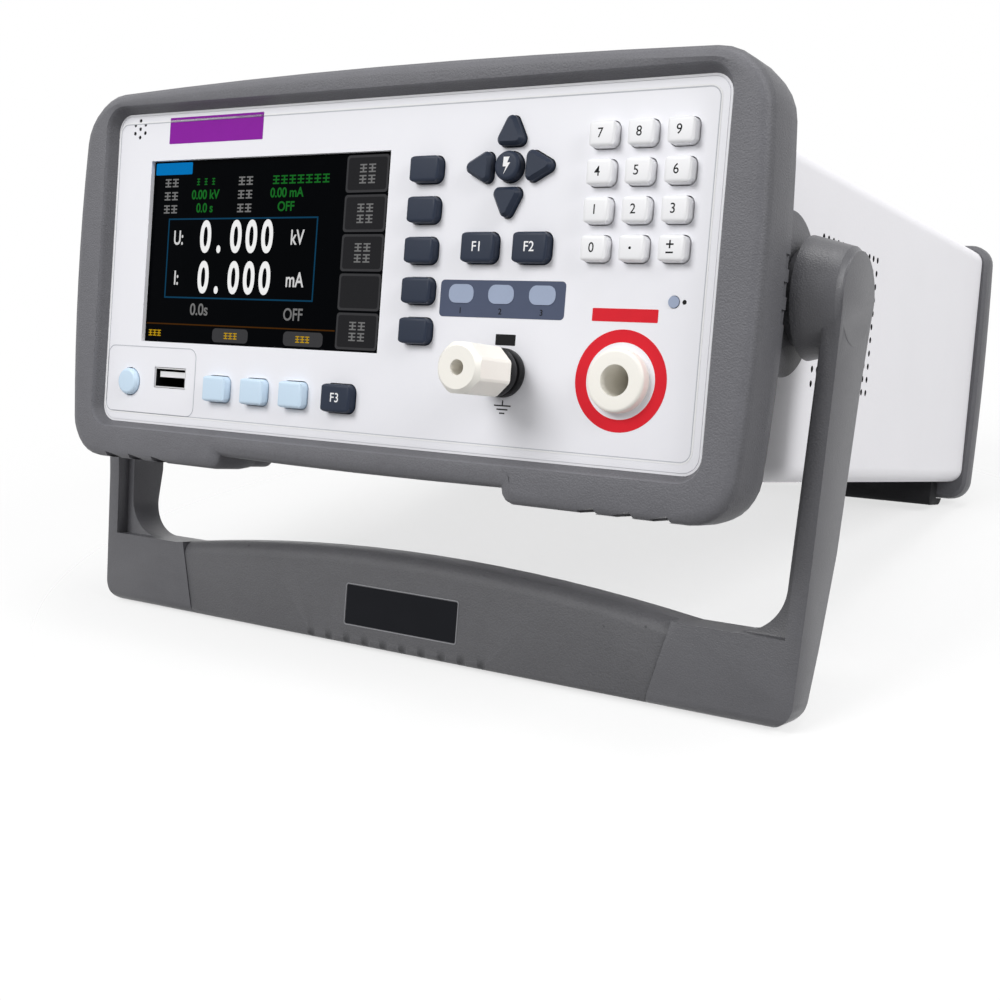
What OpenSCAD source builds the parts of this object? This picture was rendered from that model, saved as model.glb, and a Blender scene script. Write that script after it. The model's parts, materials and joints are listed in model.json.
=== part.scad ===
// Hipot tester: a half-rack bench instrument that stands front-up on its swing handle.
// Every piece is drawn upright, X to the right, Y from the panel face to the rear, Z up from the
// middle of the sleeve, and then tipped back as one until handle and rear feet meet the floor.

/* [Case] */
// Width of the metal sleeve
case_w = 220; // [210:1:280]
// Height of the metal sleeve
case_h = 88; // [86:1:120]
// Depth from the panel face to the back of the rear bumper
body_d = 240; // [220:1:320]
// Thickness of the sleeve's sheet metal
sheet_t = 1.2; // [0.8:0.1:2]
// Corner radius of the sleeve
case_r = 5; // [3:0.5:8]
// Distance between vent holes, both ways
vent_pitch = 4; // [3.5:0.25:6]
// Radius of a vent hole
vent_r = 0.95; // [0.6:0.05:1.4]

/* [Front] */
// How far the panel's visible edge lies inside the sleeve's side
panel_inset = 4.6; // [3:0.1:8]
// How far the panel rises above the sleeve
panel_rise = 10.1; // [8:0.1:14]
// Thickness of the panel moulding
panel_t = 3; // [2.5:0.1:5]
// Thickness of the printed overlay film
film_t = 0.4; // [0.2:0.05:0.8]
// Width of the bumper beside the panel
bezel_w = 10.6; // [9:0.1:16]
// Height of the bumper above and below the panel
bezel_h = 5.7; // [5:0.1:10]
// How far each side of the bumper bows outward
bumper_bow = 2.4; // [0:0.1:4]
// How far the bumper's lip stands in front of the panel
lip = 4.2; // [3.6:0.1:8]
// Depth of the front bumper behind the panel face
bumper_d = 15; // [14:0.5:24]
// Depth of the moulded front feet below the bumper
foot_drop = 3.6; // [2:0.1:8]

/* [Display] */
// Width of the display opening
screen_w = 94.3; // [90:0.1:100]
// Height of the display opening
screen_h = 56.3; // [50:0.1:58]

/* [Keys] */
// How far a key stands out of the panel
key_rise = 2.8; // [2:0.1:4]
// How far a key travels when it is pressed
key_travel = 1.2; // [0.6:0.1:1.6]
// Gap between a key and its hole
key_gap = 0.3; // [0.2:0.05:0.5]
// Width of a number key
num_w = 7.6; // [6:0.1:8]
// Height of a number key
num_h = 6.6; // [5.5:0.1:7]
// Width of a soft key
soft_w = 10; // [8:0.1:11]
// Height of a soft key
soft_h = 7.2; // [6:0.1:8]
// Diameter of the round power button
power_dia = 8.4; // [7:0.1:10]

/* [Terminals] */
// Diameter of the bore in the high-voltage socket
hv_bore = 8; // [6:0.1:9]
// Depth of the bore in the high-voltage socket
hv_depth = 22; // [16:0.5:26]
// Diameter of the plug hole in the low terminal's cap
plug_bore = 4; // [3.8:0.1:4.4]
// Length of the low terminal's cap
cap_len = 15.2; // [13:0.1:20]
// Diameter of the low terminal's cap
cap_dia = 13; // [12:0.1:15]
// Advance of the cap's thread in one turn
cap_pitch = 1; // [0.5:0.05:1.5]

/* [Handle] */
// Distance from the pivot down to the underside of the crossbar
handle_reach = 109.7; // [105:0.1:140]
// Height of the crossbar at its ends
bar_h = 23; // [18:0.1:28]
// How far the crossbar's top is arched
bar_arch = 6.5; // [0:0.1:10]
// Thickness of an arm
arm_t = 7.2; // [6:0.1:10]
// Radius of the handle's hub
hub_r = 15.9; // [14:0.1:17]
// Radius of the pivot boss
pivot_r = 9; // [7:0.1:11]
// Radial clearance of the hub on its boss
pivot_gap = 0.06; // [0.02:0.01:0.1]

/* [Hidden] */
$fn = 48;
eps = 0.01;
// Clearance where a piece drops into a seat
seat_gap = 0.15;

// Panel: half sizes of the visible opening, and its middle
panel_hw = case_w / 2 - panel_inset;
panel_top = case_h / 2 + panel_rise;
panel_bottom = -case_h / 2 + 1.1;
panel_hh = (panel_top - panel_bottom) / 2;
panel_cz = (panel_top + panel_bottom) / 2;
panel_r = 5;
// Margin of the panel that the bumper's lip covers
panel_hold = 3;
// Overlay: margin inside the visible panel
film_in = 0.6;
film_gap = 0.1;

// Places on the panel, from its edges
function from_left(x) = -panel_hw + x;
function from_right(x) = panel_hw - x;
function from_top(z) = panel_top - z;
function from_bottom(z) = panel_bottom + z;

// Display
screen_x = from_left(15.4 + screen_w / 2);
screen_z = from_top(14.8 + screen_h / 2);
window_rim = 2;
window_t = 1.6;
lcd_rim_w = 5.2;
lcd_rim_h = 4.8;
lcd_t = 4.2;

// Keys: name, middle, width, height, corner radius, kind
key_lip = 0.8;
key_edge = 1.1;
flange_t = 1;
flange_y = panel_t + 0.2;
mat_y = flange_y + flange_t + key_travel + 0.3;
mat_t = 1.2;
board_y = mat_y + mat_t;
board_t = 1.6;

soft_x = screen_x + screen_w / 2 + 13.5;
soft_pitch = 10.94;
soft_z = screen_z + screen_h / 2 - 5.9;
nav_x = from_right(61);
nav_z = from_top(20.7);
nav_out = 9.3;
nav_r = 3.95;
arrow_w = 8;
arrow_h = 7.8;
func_x = from_right(60.3);
func_z = from_top(41.8);
func_pitch = 16.2;
func_w = 10.9;
func_h = 8.1;
num_x = from_right(33.4);
num_z = from_top(13.6);
num_px = 10.86;
num_pz = 9.48;
row_z = from_bottom(12.5);
pale_x = from_left(50.2);
pale_pitch = 15.25;
pale_w = 9.3;
pale_h = 7.8;
system_x = from_left(97.7);
power_x = from_left(11.4);
power_z = from_bottom(12.9);

NUM_NAMES = ["key_7", "key_8", "key_9", "key_4", "key_5", "key_6",
             "key_1", "key_2", "key_3", "key_0", "key_point", "key_sign"];
SOFT_NAMES = ["soft_key_1", "soft_key_2", "soft_key_3", "soft_key_4", "soft_key_5"];
PALE_NAMES = ["pale_key_1", "pale_key_2", "pale_key_3"];
ARROW_NAMES = ["arrow_up", "arrow_left", "arrow_down", "arrow_right"];
FUNC_NAMES = ["function_key_1", "function_key_2"];

function num_at(i) = [num_x + (i % 3) * num_px, num_z - floor(i / 3) * num_pz];
function soft_at(i) = [soft_x, soft_z - i * soft_pitch];
function pale_at(i) = [pale_x + i * pale_pitch, row_z];
function func_at(i) = [func_x + (i - 0.5) * func_pitch, func_z];
function arrow_turn(i) = i * 90;
function arrow_at(i) = [nav_x - nav_out * sin(arrow_turn(i)), nav_z + nav_out * cos(arrow_turn(i))];

// Lamps, sockets and sounder
lens_x = func_x - 0.9;
lens_z = from_top(53.9);
lens_pitch = 12.72;
lens_w = 8;
lens_h = 5;
lens_r = 2.2;
lamp_x = from_right(10.9);
lamp_z = from_bottom(42.2);
lamp_r = 1.45;
pinhole_off = 2.8;
pinhole_r = 0.6;
usb_x = from_left(29);
usb_z = from_bottom(14.8);
usb_w = 12.6;
usb_h = 5.4;
usb_len = 16;
usb_wall = 0.4;
sounder_x = from_left(9.3);
sounder_z = from_top(4.6);
sounder_r = 5;
sounder_t = 6;
hole_ring = 2.6;
hole_r = 0.6;

// High-voltage socket
hv_x = from_right(23.9);
hv_z = from_bottom(22.2);
hv_rise = 3.2;
hv_r = 8.1;
hv_neck = 7;
hv_round = 1.0;
hv_tail = 8;
contact_r = 2.2;
contact_len = 11;

// Low terminal, from the panel face outward
low_x = from_right(58.4);
low_z = from_bottom(22.5);
collar_t = 7;
collar_r = 6.5;
stud_r = 3;
stud_gap = 0.06;
insert_r = 4.2;
insert_len = 4;
stud_tail = 18;
nut_t = 5;
cap_y = -collar_t - 0.1;
cap_front = cap_y - cap_len;
cap_bevel = 1;

// Bumpers
frame_hw = panel_hw + bezel_w;
frame_hh = panel_hh + bezel_h;
frame_r = 15;
front_round = 3.3;
bevel = 1.7;
wall_back = 4;
cavity_y = bumper_d - wall_back;
foot_in = 50;
// Corner radius of the bumper where a foot hangs from it
foot_r = 12;
foot_z = panel_cz - frame_hh - bumper_bow - foot_drop;
sleeve_front = cavity_y;
sleeve_rear = body_d - 4;
rear_front = body_d - 10;
rear_proud = 2.2;
rear_bow = 0.8;
rear_r = 7;
// How far the rear bumper hangs lower at its two bottom corners
rear_drop = 3.6;
rear_toe = 52;
rear_lip = 7;
rear_round = 3;

// Rear feet
rear_foot_w = 35;
rear_foot_x = case_w / 2 - 26;
rear_foot_front = body_d - 19;
rear_foot_rear = body_d - 2;
rear_foot_drop = 9.3;
rear_foot_edge = 5;

// Handle: pivot and crossbar, in the upright frame
pivot_y = bumper_d + hub_r + 1.1;
pivot_z = 4.2;
plate_x = case_w / 2;
plate_t = 4.4;
plate_r = 20.8;
// How far the round plate sits in front of the pivot
plate_fore = 9;
hub_in = frame_hw + bumper_bow - 0.8;
hub_out = hub_in + 12.3;
// Radius of the drum near its outer end, and of the flat face on that end
hub_taper = hub_r - 2.7;
hub_face = hub_r - 3.9;
neck_r = 12.6;
boss_end = 3.6;
arm_lean = 4.4;
bar_z = pivot_z - handle_reach;
bar_front = pivot_y - 8.5;
bar_rear = bar_front + 10.5;
bar_edge = 5;
bar_nose = 3;
bar_corner = 7;
bar_top = bar_z + bar_h;
web_t = 2.6;
web_front = bar_front + 4.5;
gusset_r = 13;
// Inner face of an arm where it meets the crossbar's top
arm_in = hub_out - arm_t - arm_lean * (1 - bar_h / handle_reach);
grip_half = 90;
grip_slant = 6;
grip_t = 5.6;
// Radius of the grip's upper edge, which follows the arch
grip_round = 4.6;
arch_half = grip_half + 3;
arch_r = (pow(arch_half, 2) + pow(bar_arch, 2)) / 2 / bar_arch;
groove_pitch = 7.1;
groove_count = 10;
groove_r = 2.1;

// Insides
tray_t = 1.5;
tray_side = 22;
tray_hw = case_w / 2 - sheet_t - 0.3;
tray_z = -case_h / 2 + sheet_t;
back_y = sleeve_rear - 3;
back_t = 1.5;
pcb_z = tray_z + tray_t + 7;
fan_x = -case_w / 2 + 52;
fan_w = 60;
fan_t = 25;
fan_r = 27.5;
fan_shaft = 2;
fan_gap = 0.06;
inlet_x = case_w / 2 - 34;
inlet_z = -16;
inlet_w = 24.4;
inlet_h = 16.6;
inlet_wall = 2;
inlet_d = 18;
pin_len = 10;
port_x = 8;
port_z = -20;
screw_r = 1.6;
screw_head = 3;
screw_head_t = 1.8;
back_screw_x = case_w / 2 - 12;
back_screw_z = case_h / 2 - 12;
board_screw = [[from_right(5.5), from_top(6.5)], [from_right(5.5), from_bottom(6.5)],
               [screen_x, from_bottom(4.6)], [nav_x - 13, from_top(6.5)]];
pcb_w = 112;
pcb_d = 140;
pcb_x = case_w / 2 - 66;
pcb_y = body_d / 2 + 4;
post_in = 5;
coil_w = 62;
coil_d = 52;
coil_h = 54;
coil_x = -case_w / 2 + 50;
coil_y = body_d / 2 - 10;

// Stance: the floor touches the crossbar's rear edge and the rear feet's rear edge
bar_c = [bar_rear - bar_edge, bar_z + bar_edge];
foot_c = [rear_foot_rear - rear_foot_edge, -case_h / 2 - rear_foot_drop + rear_foot_edge];
stance = foot_c - bar_c;
tilt = atan2(stance[1], stance[0]) + asin((bar_edge - rear_foot_edge) / norm(stance));
function tip_y(p) = p[0] * cos(tilt) + p[1] * sin(tilt);
function tip_z(p) = p[1] * cos(tilt) - p[0] * sin(tilt);
lift = bar_edge - tip_z(bar_c);
front_most = tip_y([cap_front, low_z - cap_dia / 2 + cap_bevel]);
rear_most = tip_y([body_d - rear_round, case_h / 2 + rear_proud + rear_bow - rear_round]) + rear_round;
shift = -(front_most + rear_most) / 2;

KEY_NAMES = concat(NUM_NAMES, SOFT_NAMES, PALE_NAMES, ARROW_NAMES, FUNC_NAMES,
                   ["centre_key", "system_key", "power_button"]);

// Tip the upright object back onto its handle
module stand() {
    translate([0, shift, lift]) rotate([-tilt, 0, 0]) children();
}

// Extrude an outline drawn in X and Z from depth y over length d
module slab(y, d) {
    translate([0, y + d, 0]) rotate([90, 0, 0]) linear_extrude(d) children();
}

// Round bar along Y, from depth y over length d
module rod(x, z, y, d, r) {
    translate([x, y, z]) rotate([-90, 0, 0]) cylinder(h = d, r = r);
}

// Round bar along X through the pivot, tapered when an end radius is given
module axle(x, d, r, end_r = 0) {
    translate([x, pivot_y, pivot_z]) rotate([0, 90, 0]) cylinder(h = d, r1 = r, r2 = end_r > 0 ? end_r : r);
}

module rounded(w, h, r) {
    square([w - 2 * r, h], center = true);
    square([w, h - 2 * r], center = true);
    for (x = [-1, 1], z = [-1, 1])
        translate([x * (w / 2 - r), z * (h / 2 - r)]) circle(r);
}

module at(p) {
    translate([p[0], p[1]]) children();
}

// Bowed rectangle with round corners, as a list of points. Its bottom can hang lower by drop, outside
// |x| = toe, as two flat feet with corners of radius fr.
CORNER_STEPS = 7;
SIDE_STEPS = 8;
// Inner end of a foot: distance along it, and share of the drop reached there
TOE = [[3.4, 1], [1.6, 0.84], [0.5, 0.5], [0, 0]];
function bowed(p, hw, hh, bow) =
    [p[0] * (1 + bow / hw * max(0, 1 - pow(p[1] / hh, 2))),
     p[1] * (1 + bow / hh * max(0, 1 - pow(p[0] / hw, 2)))];
function swelled(p, hw, hh, bow) = [p[0] * (1 + bow / hw * max(0, 1 - pow(p[1] / hh, 2))), p[1]];
function arc(c, r, from) =
    [for (i = [0:CORNER_STEPS]) let (a = from + 90 * i / CORNER_STEPS) c + r * [cos(a), sin(a)]];
function between(a, b) = [for (i = [1:SIDE_STEPS - 1]) a + (b - a) * i / SIDE_STEPS];
function sole(x, share, hw, hh, bow, low) =
    [x, -(1 - share) * (hh + bow * (1 - pow(x / hw, 2))) - share * low];
function outline(hw, hh, r, bow, drop = 0, fr = 0, toe = 50) = let (
    low = hh + bow + drop,
    q = fr > 0 ? fr : r,
    top = concat(arc([hw - r, hh - r], r, 0), between([hw - r, hh], [r - hw, hh]),
                 arc([r - hw, hh - r], r, 90)),
    left = concat(between([-hw, hh - r], [-hw, q - low]), arc([q - hw, q - low], q, 180)),
    right = concat(arc([hw - q, q - low], q, 270), between([hw, q - low], [hw, hh - r])),
    n = len(TOE) - 1)
    concat([for (p = top) bowed(p, hw, hh, bow)], [for (p = left) swelled(p, hw, hh, bow)],
           [for (t = TOE) sole(-toe - t[0], t[1], hw, hh, bow, low)],
           [for (k = [-0.5:0.5:0.5]) sole(k * toe, 0, hw, hh, bow, low)],
           [for (i = [n:-1:0]) sole(toe + TOE[i][0], TOE[i][1], hw, hh, bow, low)],
           [for (p = right) swelled(p, hw, hh, bow)]);
function ring(y, cz, pts) = [for (p = pts) [p[0], y, p[1] + cz]];

// Closed band through a loop of rings that all have the same number of points
module band(rings) {
    n = len(rings[0]);
    m = len(rings);
    pts = [for (r = rings) each r];
    faces = [for (j = [0:m - 1], i = [0:n - 1]) let (
        a = j * n + i,
        b = j * n + (i + 1) % n,
        c = ((j + 1) % m) * n + (i + 1) % n,
        d = ((j + 1) % m) * n + i) each [[a, b, c], [a, c, d]]];
    polyhedron(pts, faces);
}

// Key with a softly rounded face, guided by its hole and held by a flange behind the panel
module pillow(p, w, h, r, front, back) {
    span = back - front + 2 * key_edge;
    translate([p[0], 0, p[1]]) intersection() {
        slab(front, back - front) rounded(w, h, r);
        translate([0, front + span / 2, -h / 2]) linear_extrude(h) rounded(w, span, key_edge);
        translate([-w / 2, front + span / 2, 0]) rotate([0, 90, 0])
            linear_extrude(w) rounded(h, span, key_edge);
    }
}

module key(p, w, h, r) {
    stand() {
        pillow(p, w, h, r, -key_rise, flange_y + eps);
        slab(flange_y, flange_t) at(p) rounded(w + 2 * key_lip, h + 2 * key_lip, r + key_lip);
    }
}

module round_key(p, r, rise) {
    stand() translate([p[0], 0, p[1]]) rotate([90, 0, 0]) rotate_extrude() {
        translate([0, -flange_y - flange_t]) square([r + key_lip, flange_t]);
        translate([0, -flange_y - eps]) square([r, flange_y + rise - key_edge + eps]);
        translate([0, rise - 2 * key_edge]) square([r - key_edge, 2 * key_edge]);
        intersection() {
            translate([r - key_edge, rise - key_edge]) circle(key_edge);
            translate([0, rise - 2 * key_edge]) square([r, 2 * key_edge]);
        }
    }
}

// Rounded triangle with its point up, grown by g
module arrow_outline(g) {
    r = 1.7;
    hull() for (q = [[-arrow_w / 2 + r, -arrow_h / 2 + r], [arrow_w / 2 - r, -arrow_h / 2 + r],
                     [0, arrow_h / 2 - r]])
        at(q) circle(r + g, $fn = 28);
}

module arrow_key(i) {
    p = arrow_at(i);
    stand() translate([p[0], 0, p[1]]) rotate([0, -arrow_turn(i), 0]) {
        hull() {
            slab(-key_rise + key_edge, flange_y + key_rise - key_edge) arrow_outline(0);
            slab(-key_rise, key_edge) arrow_outline(-key_edge * 0.8);
        }
        slab(flange_y - eps, flange_t + eps) arrow_outline(key_lip * 0.7);
    }
}

// Openings for keys, grown by g round each
module key_openings(g) {
    for (i = [0:11]) at(num_at(i)) rounded(num_w + 2 * g, num_h + 2 * g, 1.8 + g);
    for (i = [0:4]) at(soft_at(i)) rounded(soft_w + 2 * g, soft_h + 2 * g, 2.2 + g);
    for (i = [0:2]) at(pale_at(i)) rounded(pale_w + 2 * g, pale_h + 2 * g, 1.9 + g);
    for (i = [0:1]) at(func_at(i)) rounded(func_w + 2 * g, func_h + 2 * g, 2.2 + g);
    at([system_x, row_z]) rounded(func_w + 2 * g, func_h + 2 * g, 2.2 + g);
    at([power_x, power_z]) circle(power_dia / 2 + g);
    at([nav_x, nav_z]) circle(nav_r + g);
    for (i = [0:3]) at(arrow_at(i)) rotate(arrow_turn(i)) arrow_outline(g);
}

// Openings for lamps, sockets and sounder, grown by g
module port_openings(g) {
    for (i = [-1:1])
        at([lens_x + i * lens_pitch, lens_z]) rounded(lens_w + 2 * g, lens_h + 2 * g, lens_r + g);
    at([lamp_x, lamp_z]) circle(lamp_r + g);
    at([lamp_x + pinhole_off, lamp_z]) circle(pinhole_r);
    at([usb_x, usb_z]) square([usb_w + 2 * usb_wall + 2 * g, usb_h + 2 * usb_wall + 2 * g], center = true);
    at([hv_x, hv_z]) circle(hv_neck + g);
    at([low_x, low_z]) circle(stud_r + 1.5 + g);
    at([sounder_x, sounder_z]) {
        circle(hole_r);
        for (a = [30:60:330]) rotate(a) translate([hole_ring, 0]) circle(hole_r);
    }
}

module front_panel() {
    color("white") stand() difference() {
        union() {
            slab(0, panel_t) translate([0, panel_cz])
                rounded(2 * (panel_hw + panel_hold), 2 * (panel_hh + panel_hold), panel_r + panel_hold);
            for (q = board_screw) rod(q[0], q[1], panel_t - eps, board_y - panel_t + eps, 2.6);
        }
        slab(-eps, film_t + eps) translate([0, panel_cz])
            rounded(2 * (panel_hw - film_in), 2 * (panel_hh - film_in), panel_r - film_in);
        slab(-1, panel_t + 2) key_openings(key_gap);
        slab(-1, panel_t + 2) port_openings(seat_gap);
        slab(-1, panel_t + 2) at([screen_x, screen_z]) square([screen_w, screen_h], center = true);
        slab(panel_t - window_t, window_t + 1) at([screen_x, screen_z])
            square([screen_w + 2 * window_rim + 2 * seat_gap, screen_h + 2 * window_rim + 2 * seat_gap],
                   center = true);
        for (q = board_screw) rod(q[0], q[1], panel_t + 0.5, board_y, screw_r);
    }
}

module panel_overlay() {
    color("ghostwhite") stand() difference() {
        slab(0, film_t) translate([0, panel_cz])
            rounded(2 * (panel_hw - film_in - film_gap), 2 * (panel_hh - film_in - film_gap),
                    panel_r - film_in);
        slab(-1, film_t + 2) key_openings(key_gap);
        slab(-1, film_t + 2) port_openings(seat_gap);
        slab(-1, film_t + 2) at([screen_x, screen_z]) square([screen_w, screen_h], center = true);
    }
}

module display_window() {
    color("black") stand() slab(panel_t - window_t, window_t) at([screen_x, screen_z])
        square([screen_w + 2 * window_rim, screen_h + 2 * window_rim], center = true);
}

module lcd_module() {
    color("dimgray") stand() slab(panel_t, lcd_t) at([screen_x, screen_z])
        square([screen_w + 2 * lcd_rim_w, screen_h + 2 * lcd_rim_h], center = true);
}

// Area behind the keys, to the right of the display and below it
module key_area(m) {
    right_x = screen_x + screen_w / 2 + lcd_rim_w + 0.6;
    translate([right_x + m, panel_bottom + m])
        square([panel_hw - right_x - 2 * m, 2 * panel_hh - 2 * m]);
    translate([-panel_hw + m, panel_bottom + m])
        square([panel_hw + right_x + 4 * m,
                screen_z - screen_h / 2 - lcd_rim_h - 0.6 - panel_bottom - 2 * m]);
}

module board_cuts(g) {
    at([hv_x, hv_z]) circle(hv_neck + 1 + g);
    at([low_x, low_z]) circle(stud_r * 1.9 + g);
    at([usb_x, usb_z]) square([usb_w + 2 * usb_wall + 2 * g, usb_h + 2 * usb_wall + 2 * g], center = true);
}

module keypad_mat() {
    color("gainsboro") stand() slab(mat_y, mat_t) difference() {
        key_area(1);
        board_cuts(0.6);
        for (q = board_screw) at(q) circle(2.6 + 0.6);
        for (i = [-1:1]) at([lens_x + i * lens_pitch, lens_z]) square([lens_w, lens_h], center = true);
    }
}

module keypad_board() {
    color("seagreen") stand() {
        slab(board_y, board_t) difference() {
            key_area(0.5);
            board_cuts(0.25);
            for (q = board_screw) at(q) circle(screw_r + 0.2);
        }
        for (i = [-1:1]) slab(board_y - 1.5, 1.5 + eps) at([lens_x + i * lens_pitch, lens_z])
            square([3.2, 2.8], center = true);
    }
}

module indicator_lenses() {
    color("lightsteelblue") stand() {
        for (i = [-1:1]) {
            slab(-0.2, panel_t + 0.2 + eps)
                at([lens_x + i * lens_pitch, lens_z]) rounded(lens_w, lens_h, lens_r);
            slab(panel_t, 1)
                at([lens_x + i * lens_pitch, lens_z]) rounded(lens_w + 1.6, lens_h + 1.6, lens_r + 0.8);
        }
        rod(lamp_x, lamp_z, -0.3, panel_t + 0.3 + eps, lamp_r);
        rod(lamp_x, lamp_z, panel_t, 1, lamp_r + 0.7);
    }
}

module usb_port() {
    color("silver") stand() {
        slab(0.3, usb_len) at([usb_x, usb_z]) difference() {
            square([usb_w + 2 * usb_wall, usb_h + 2 * usb_wall], center = true);
            square([usb_w, usb_h], center = true);
        }
        slab(0.3 + usb_len - 1.5, 1.5) at([usb_x, usb_z])
            square([usb_w + 2 * usb_wall, usb_h + 2 * usb_wall], center = true);
        slab(1.3, usb_len - 1) translate([usb_x, usb_z + usb_h / 2 - 1.6])
            square([usb_w - 1.6, 1.8], center = true);
    }
}

module sounder() {
    color("black") stand() difference() {
        rod(sounder_x, sounder_z, panel_t, sounder_t, sounder_r);
        rod(sounder_x, sounder_z, panel_t - 1, 2, sounder_r - 1);
    }
}

module hv_socket() {
    color("ivory") stand() translate([hv_x, 0, hv_z]) rotate([90, 0, 0]) rotate_extrude() difference() {
        union() {
            square([hv_r, hv_rise - hv_round]);
            square([hv_r - hv_round, hv_rise]);
            translate([hv_r - hv_round, hv_rise - hv_round]) circle(hv_round);
            translate([0, hv_rise - hv_depth - hv_tail])
                square([hv_neck, hv_depth + hv_tail - hv_rise + eps]);
        }
        translate([-hv_r, hv_rise - hv_depth]) square([hv_r + hv_bore / 2, hv_depth + 1]);
        translate([-hv_r, hv_rise - hv_depth - hv_tail - 1]) square([hv_r + contact_r + 0.05, hv_tail + 2]);
        translate([-hv_r, -hv_depth - hv_tail]) square([hv_r, 2 * hv_depth + 2 * hv_tail]);
    }
}

module hv_contact() {
    color("gold") stand() {
        rod(hv_x, hv_z, hv_depth - hv_rise + 1, contact_len, contact_r);
        rod(hv_x, hv_z, hv_depth - hv_rise + hv_tail, 2, contact_r + 2);
    }
}

module low_collar() {
    color("black") stand() difference() {
        union() {
            rod(low_x, low_z, -collar_t, collar_t, collar_r);
            rod(low_x, low_z, -eps, panel_t + eps, stud_r + 1.5);
        }
        rod(low_x, low_z, -collar_t - 1, collar_t + panel_t + 2, stud_r + 0.05);
        rod(low_x, low_z, -collar_t * 0.55, 1.2, collar_r + 1);
    }
    color("black") stand() difference() {
        rod(low_x, low_z, -collar_t * 0.55 - eps, 1.2 + 2 * eps, collar_r - 0.8);
        rod(low_x, low_z, -collar_t - 1, collar_t + panel_t + 2, stud_r + 0.05);
    }
}

module low_stud() {
    color("goldenrod") stand() {
        rod(low_x, low_z, cap_y - insert_len, insert_len - cap_y + panel_t + stud_tail, stud_r);
        translate([low_x, panel_t, low_z]) rotate([-90, 0, 0])
            cylinder(h = nut_t, r = stud_r * 1.8, $fn = 6);
    }
}

module low_insert() {
    color("goldenrod") stand() difference() {
        rod(low_x, low_z, cap_y - insert_len, insert_len, insert_r);
        rod(low_x, low_z, cap_y - insert_len - 1, insert_len + 2, stud_r + stud_gap);
    }
}

// Eight-sided cap with a round collar at its front edge, a plug hole and a seat for the insert
module low_cap() {
    // The corners of the eight flats are broken a little
    cap_edge = cap_dia / 2 / cos(22.5) - 0.15;
    color("ivory") stand() difference() {
        intersection() {
            translate([low_x, cap_y, low_z]) rotate([90, 22.5, 0])
                cylinder(h = cap_len, r = cap_dia / 2 / cos(22.5), $fn = 8);
            translate([low_x, cap_y, low_z]) rotate([90, 0, 0]) rotate_extrude() {
                polygon([[0, 0], [cap_edge, 0], [cap_edge, cap_len - 1.5 * cap_bevel],
                         [cap_dia / 2 - cap_bevel, cap_len], [0, cap_len]]);
            }
        }
        rod(low_x, low_z, cap_front - 1, cap_len + 2, plug_bore / 2);
        rod(low_x, low_z, cap_y - insert_len - 0.3, insert_len + 1, insert_r + stud_gap);
    }
}

// Three cross notches under a front foot
module foot_notches() {
    for (i = [0:2]) translate([foot_in + 24 + i * 10.3, -lip - 1, foot_z - 1]) rotate([0, -14, 0])
        cube([5.2, bumper_d + lip + 2, 1.6]);
}

module front_bumper() {
    o = function (y, inset)
        ring(y, panel_cz, outline(frame_hw - inset, frame_hh - inset, frame_r - inset, bumper_bow,
                                  foot_drop, foot_r - inset, foot_in + inset));
    p = function (y, grow) ring(y, panel_cz, outline(panel_hw + grow, panel_hh + grow, panel_r + grow, 0));
    s = function (y) ring(y, 0, outline(case_w / 2 + seat_gap, case_h / 2 + seat_gap, case_r + seat_gap, 0));
    hold = panel_hold + seat_gap;
    color("dimgray") stand() difference() {
        band([p(0, 0), p(-lip * 0.55, bevel * 0.75), p(-lip * 0.9, bevel * 1.1), o(-lip, front_round),
              for (a = [30:30:90]) o(-lip + front_round * (1 - cos(a)), front_round * (1 - sin(a))),
              o(bumper_d * 0.6, 0), o(bumper_d - 1.2, 0.5), o(bumper_d - 0.3, 1.2), o(bumper_d, 2.2),
              s(bumper_d), s(cavity_y), p(cavity_y, hold), p(0, hold)]);
        foot_notches();
        mirror([1, 0, 0]) foot_notches();
        for (x = [-1, 1], i = [-1:1])
            translate([x * (frame_hw + bumper_bow), bumper_d - 2.4, pivot_z + i * 6.7])
                cube([2.4, 4.6, 3.6], center = true);
    }
}

module rear_bumper() {
    hw = case_w / 2 + rear_proud;
    hh = case_h / 2 + rear_proud;
    o = function (y, inset) ring(y, 0, outline(hw - inset, hh - inset, rear_r - inset, rear_bow,
                                               rear_drop, rear_r - inset, rear_toe + inset));
    s = function (y, grow)
        ring(y, 0, outline(case_w / 2 + grow, case_h / 2 + grow, case_r + max(grow, -1), 0));
    color("dimgray") stand() band([
        s(sleeve_rear + 0.2, seat_gap), s(rear_front, seat_gap), o(rear_front, 1.6),
        o(rear_front + 1, 0.4), o(rear_front + 3, 0),
        for (a = [90:-30:0]) o(body_d - rear_round * (1 - cos(a)), rear_round * (1 - sin(a))),
        s(body_d, -rear_lip), s(sleeve_rear + 0.2, -rear_lip)]);
}

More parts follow.
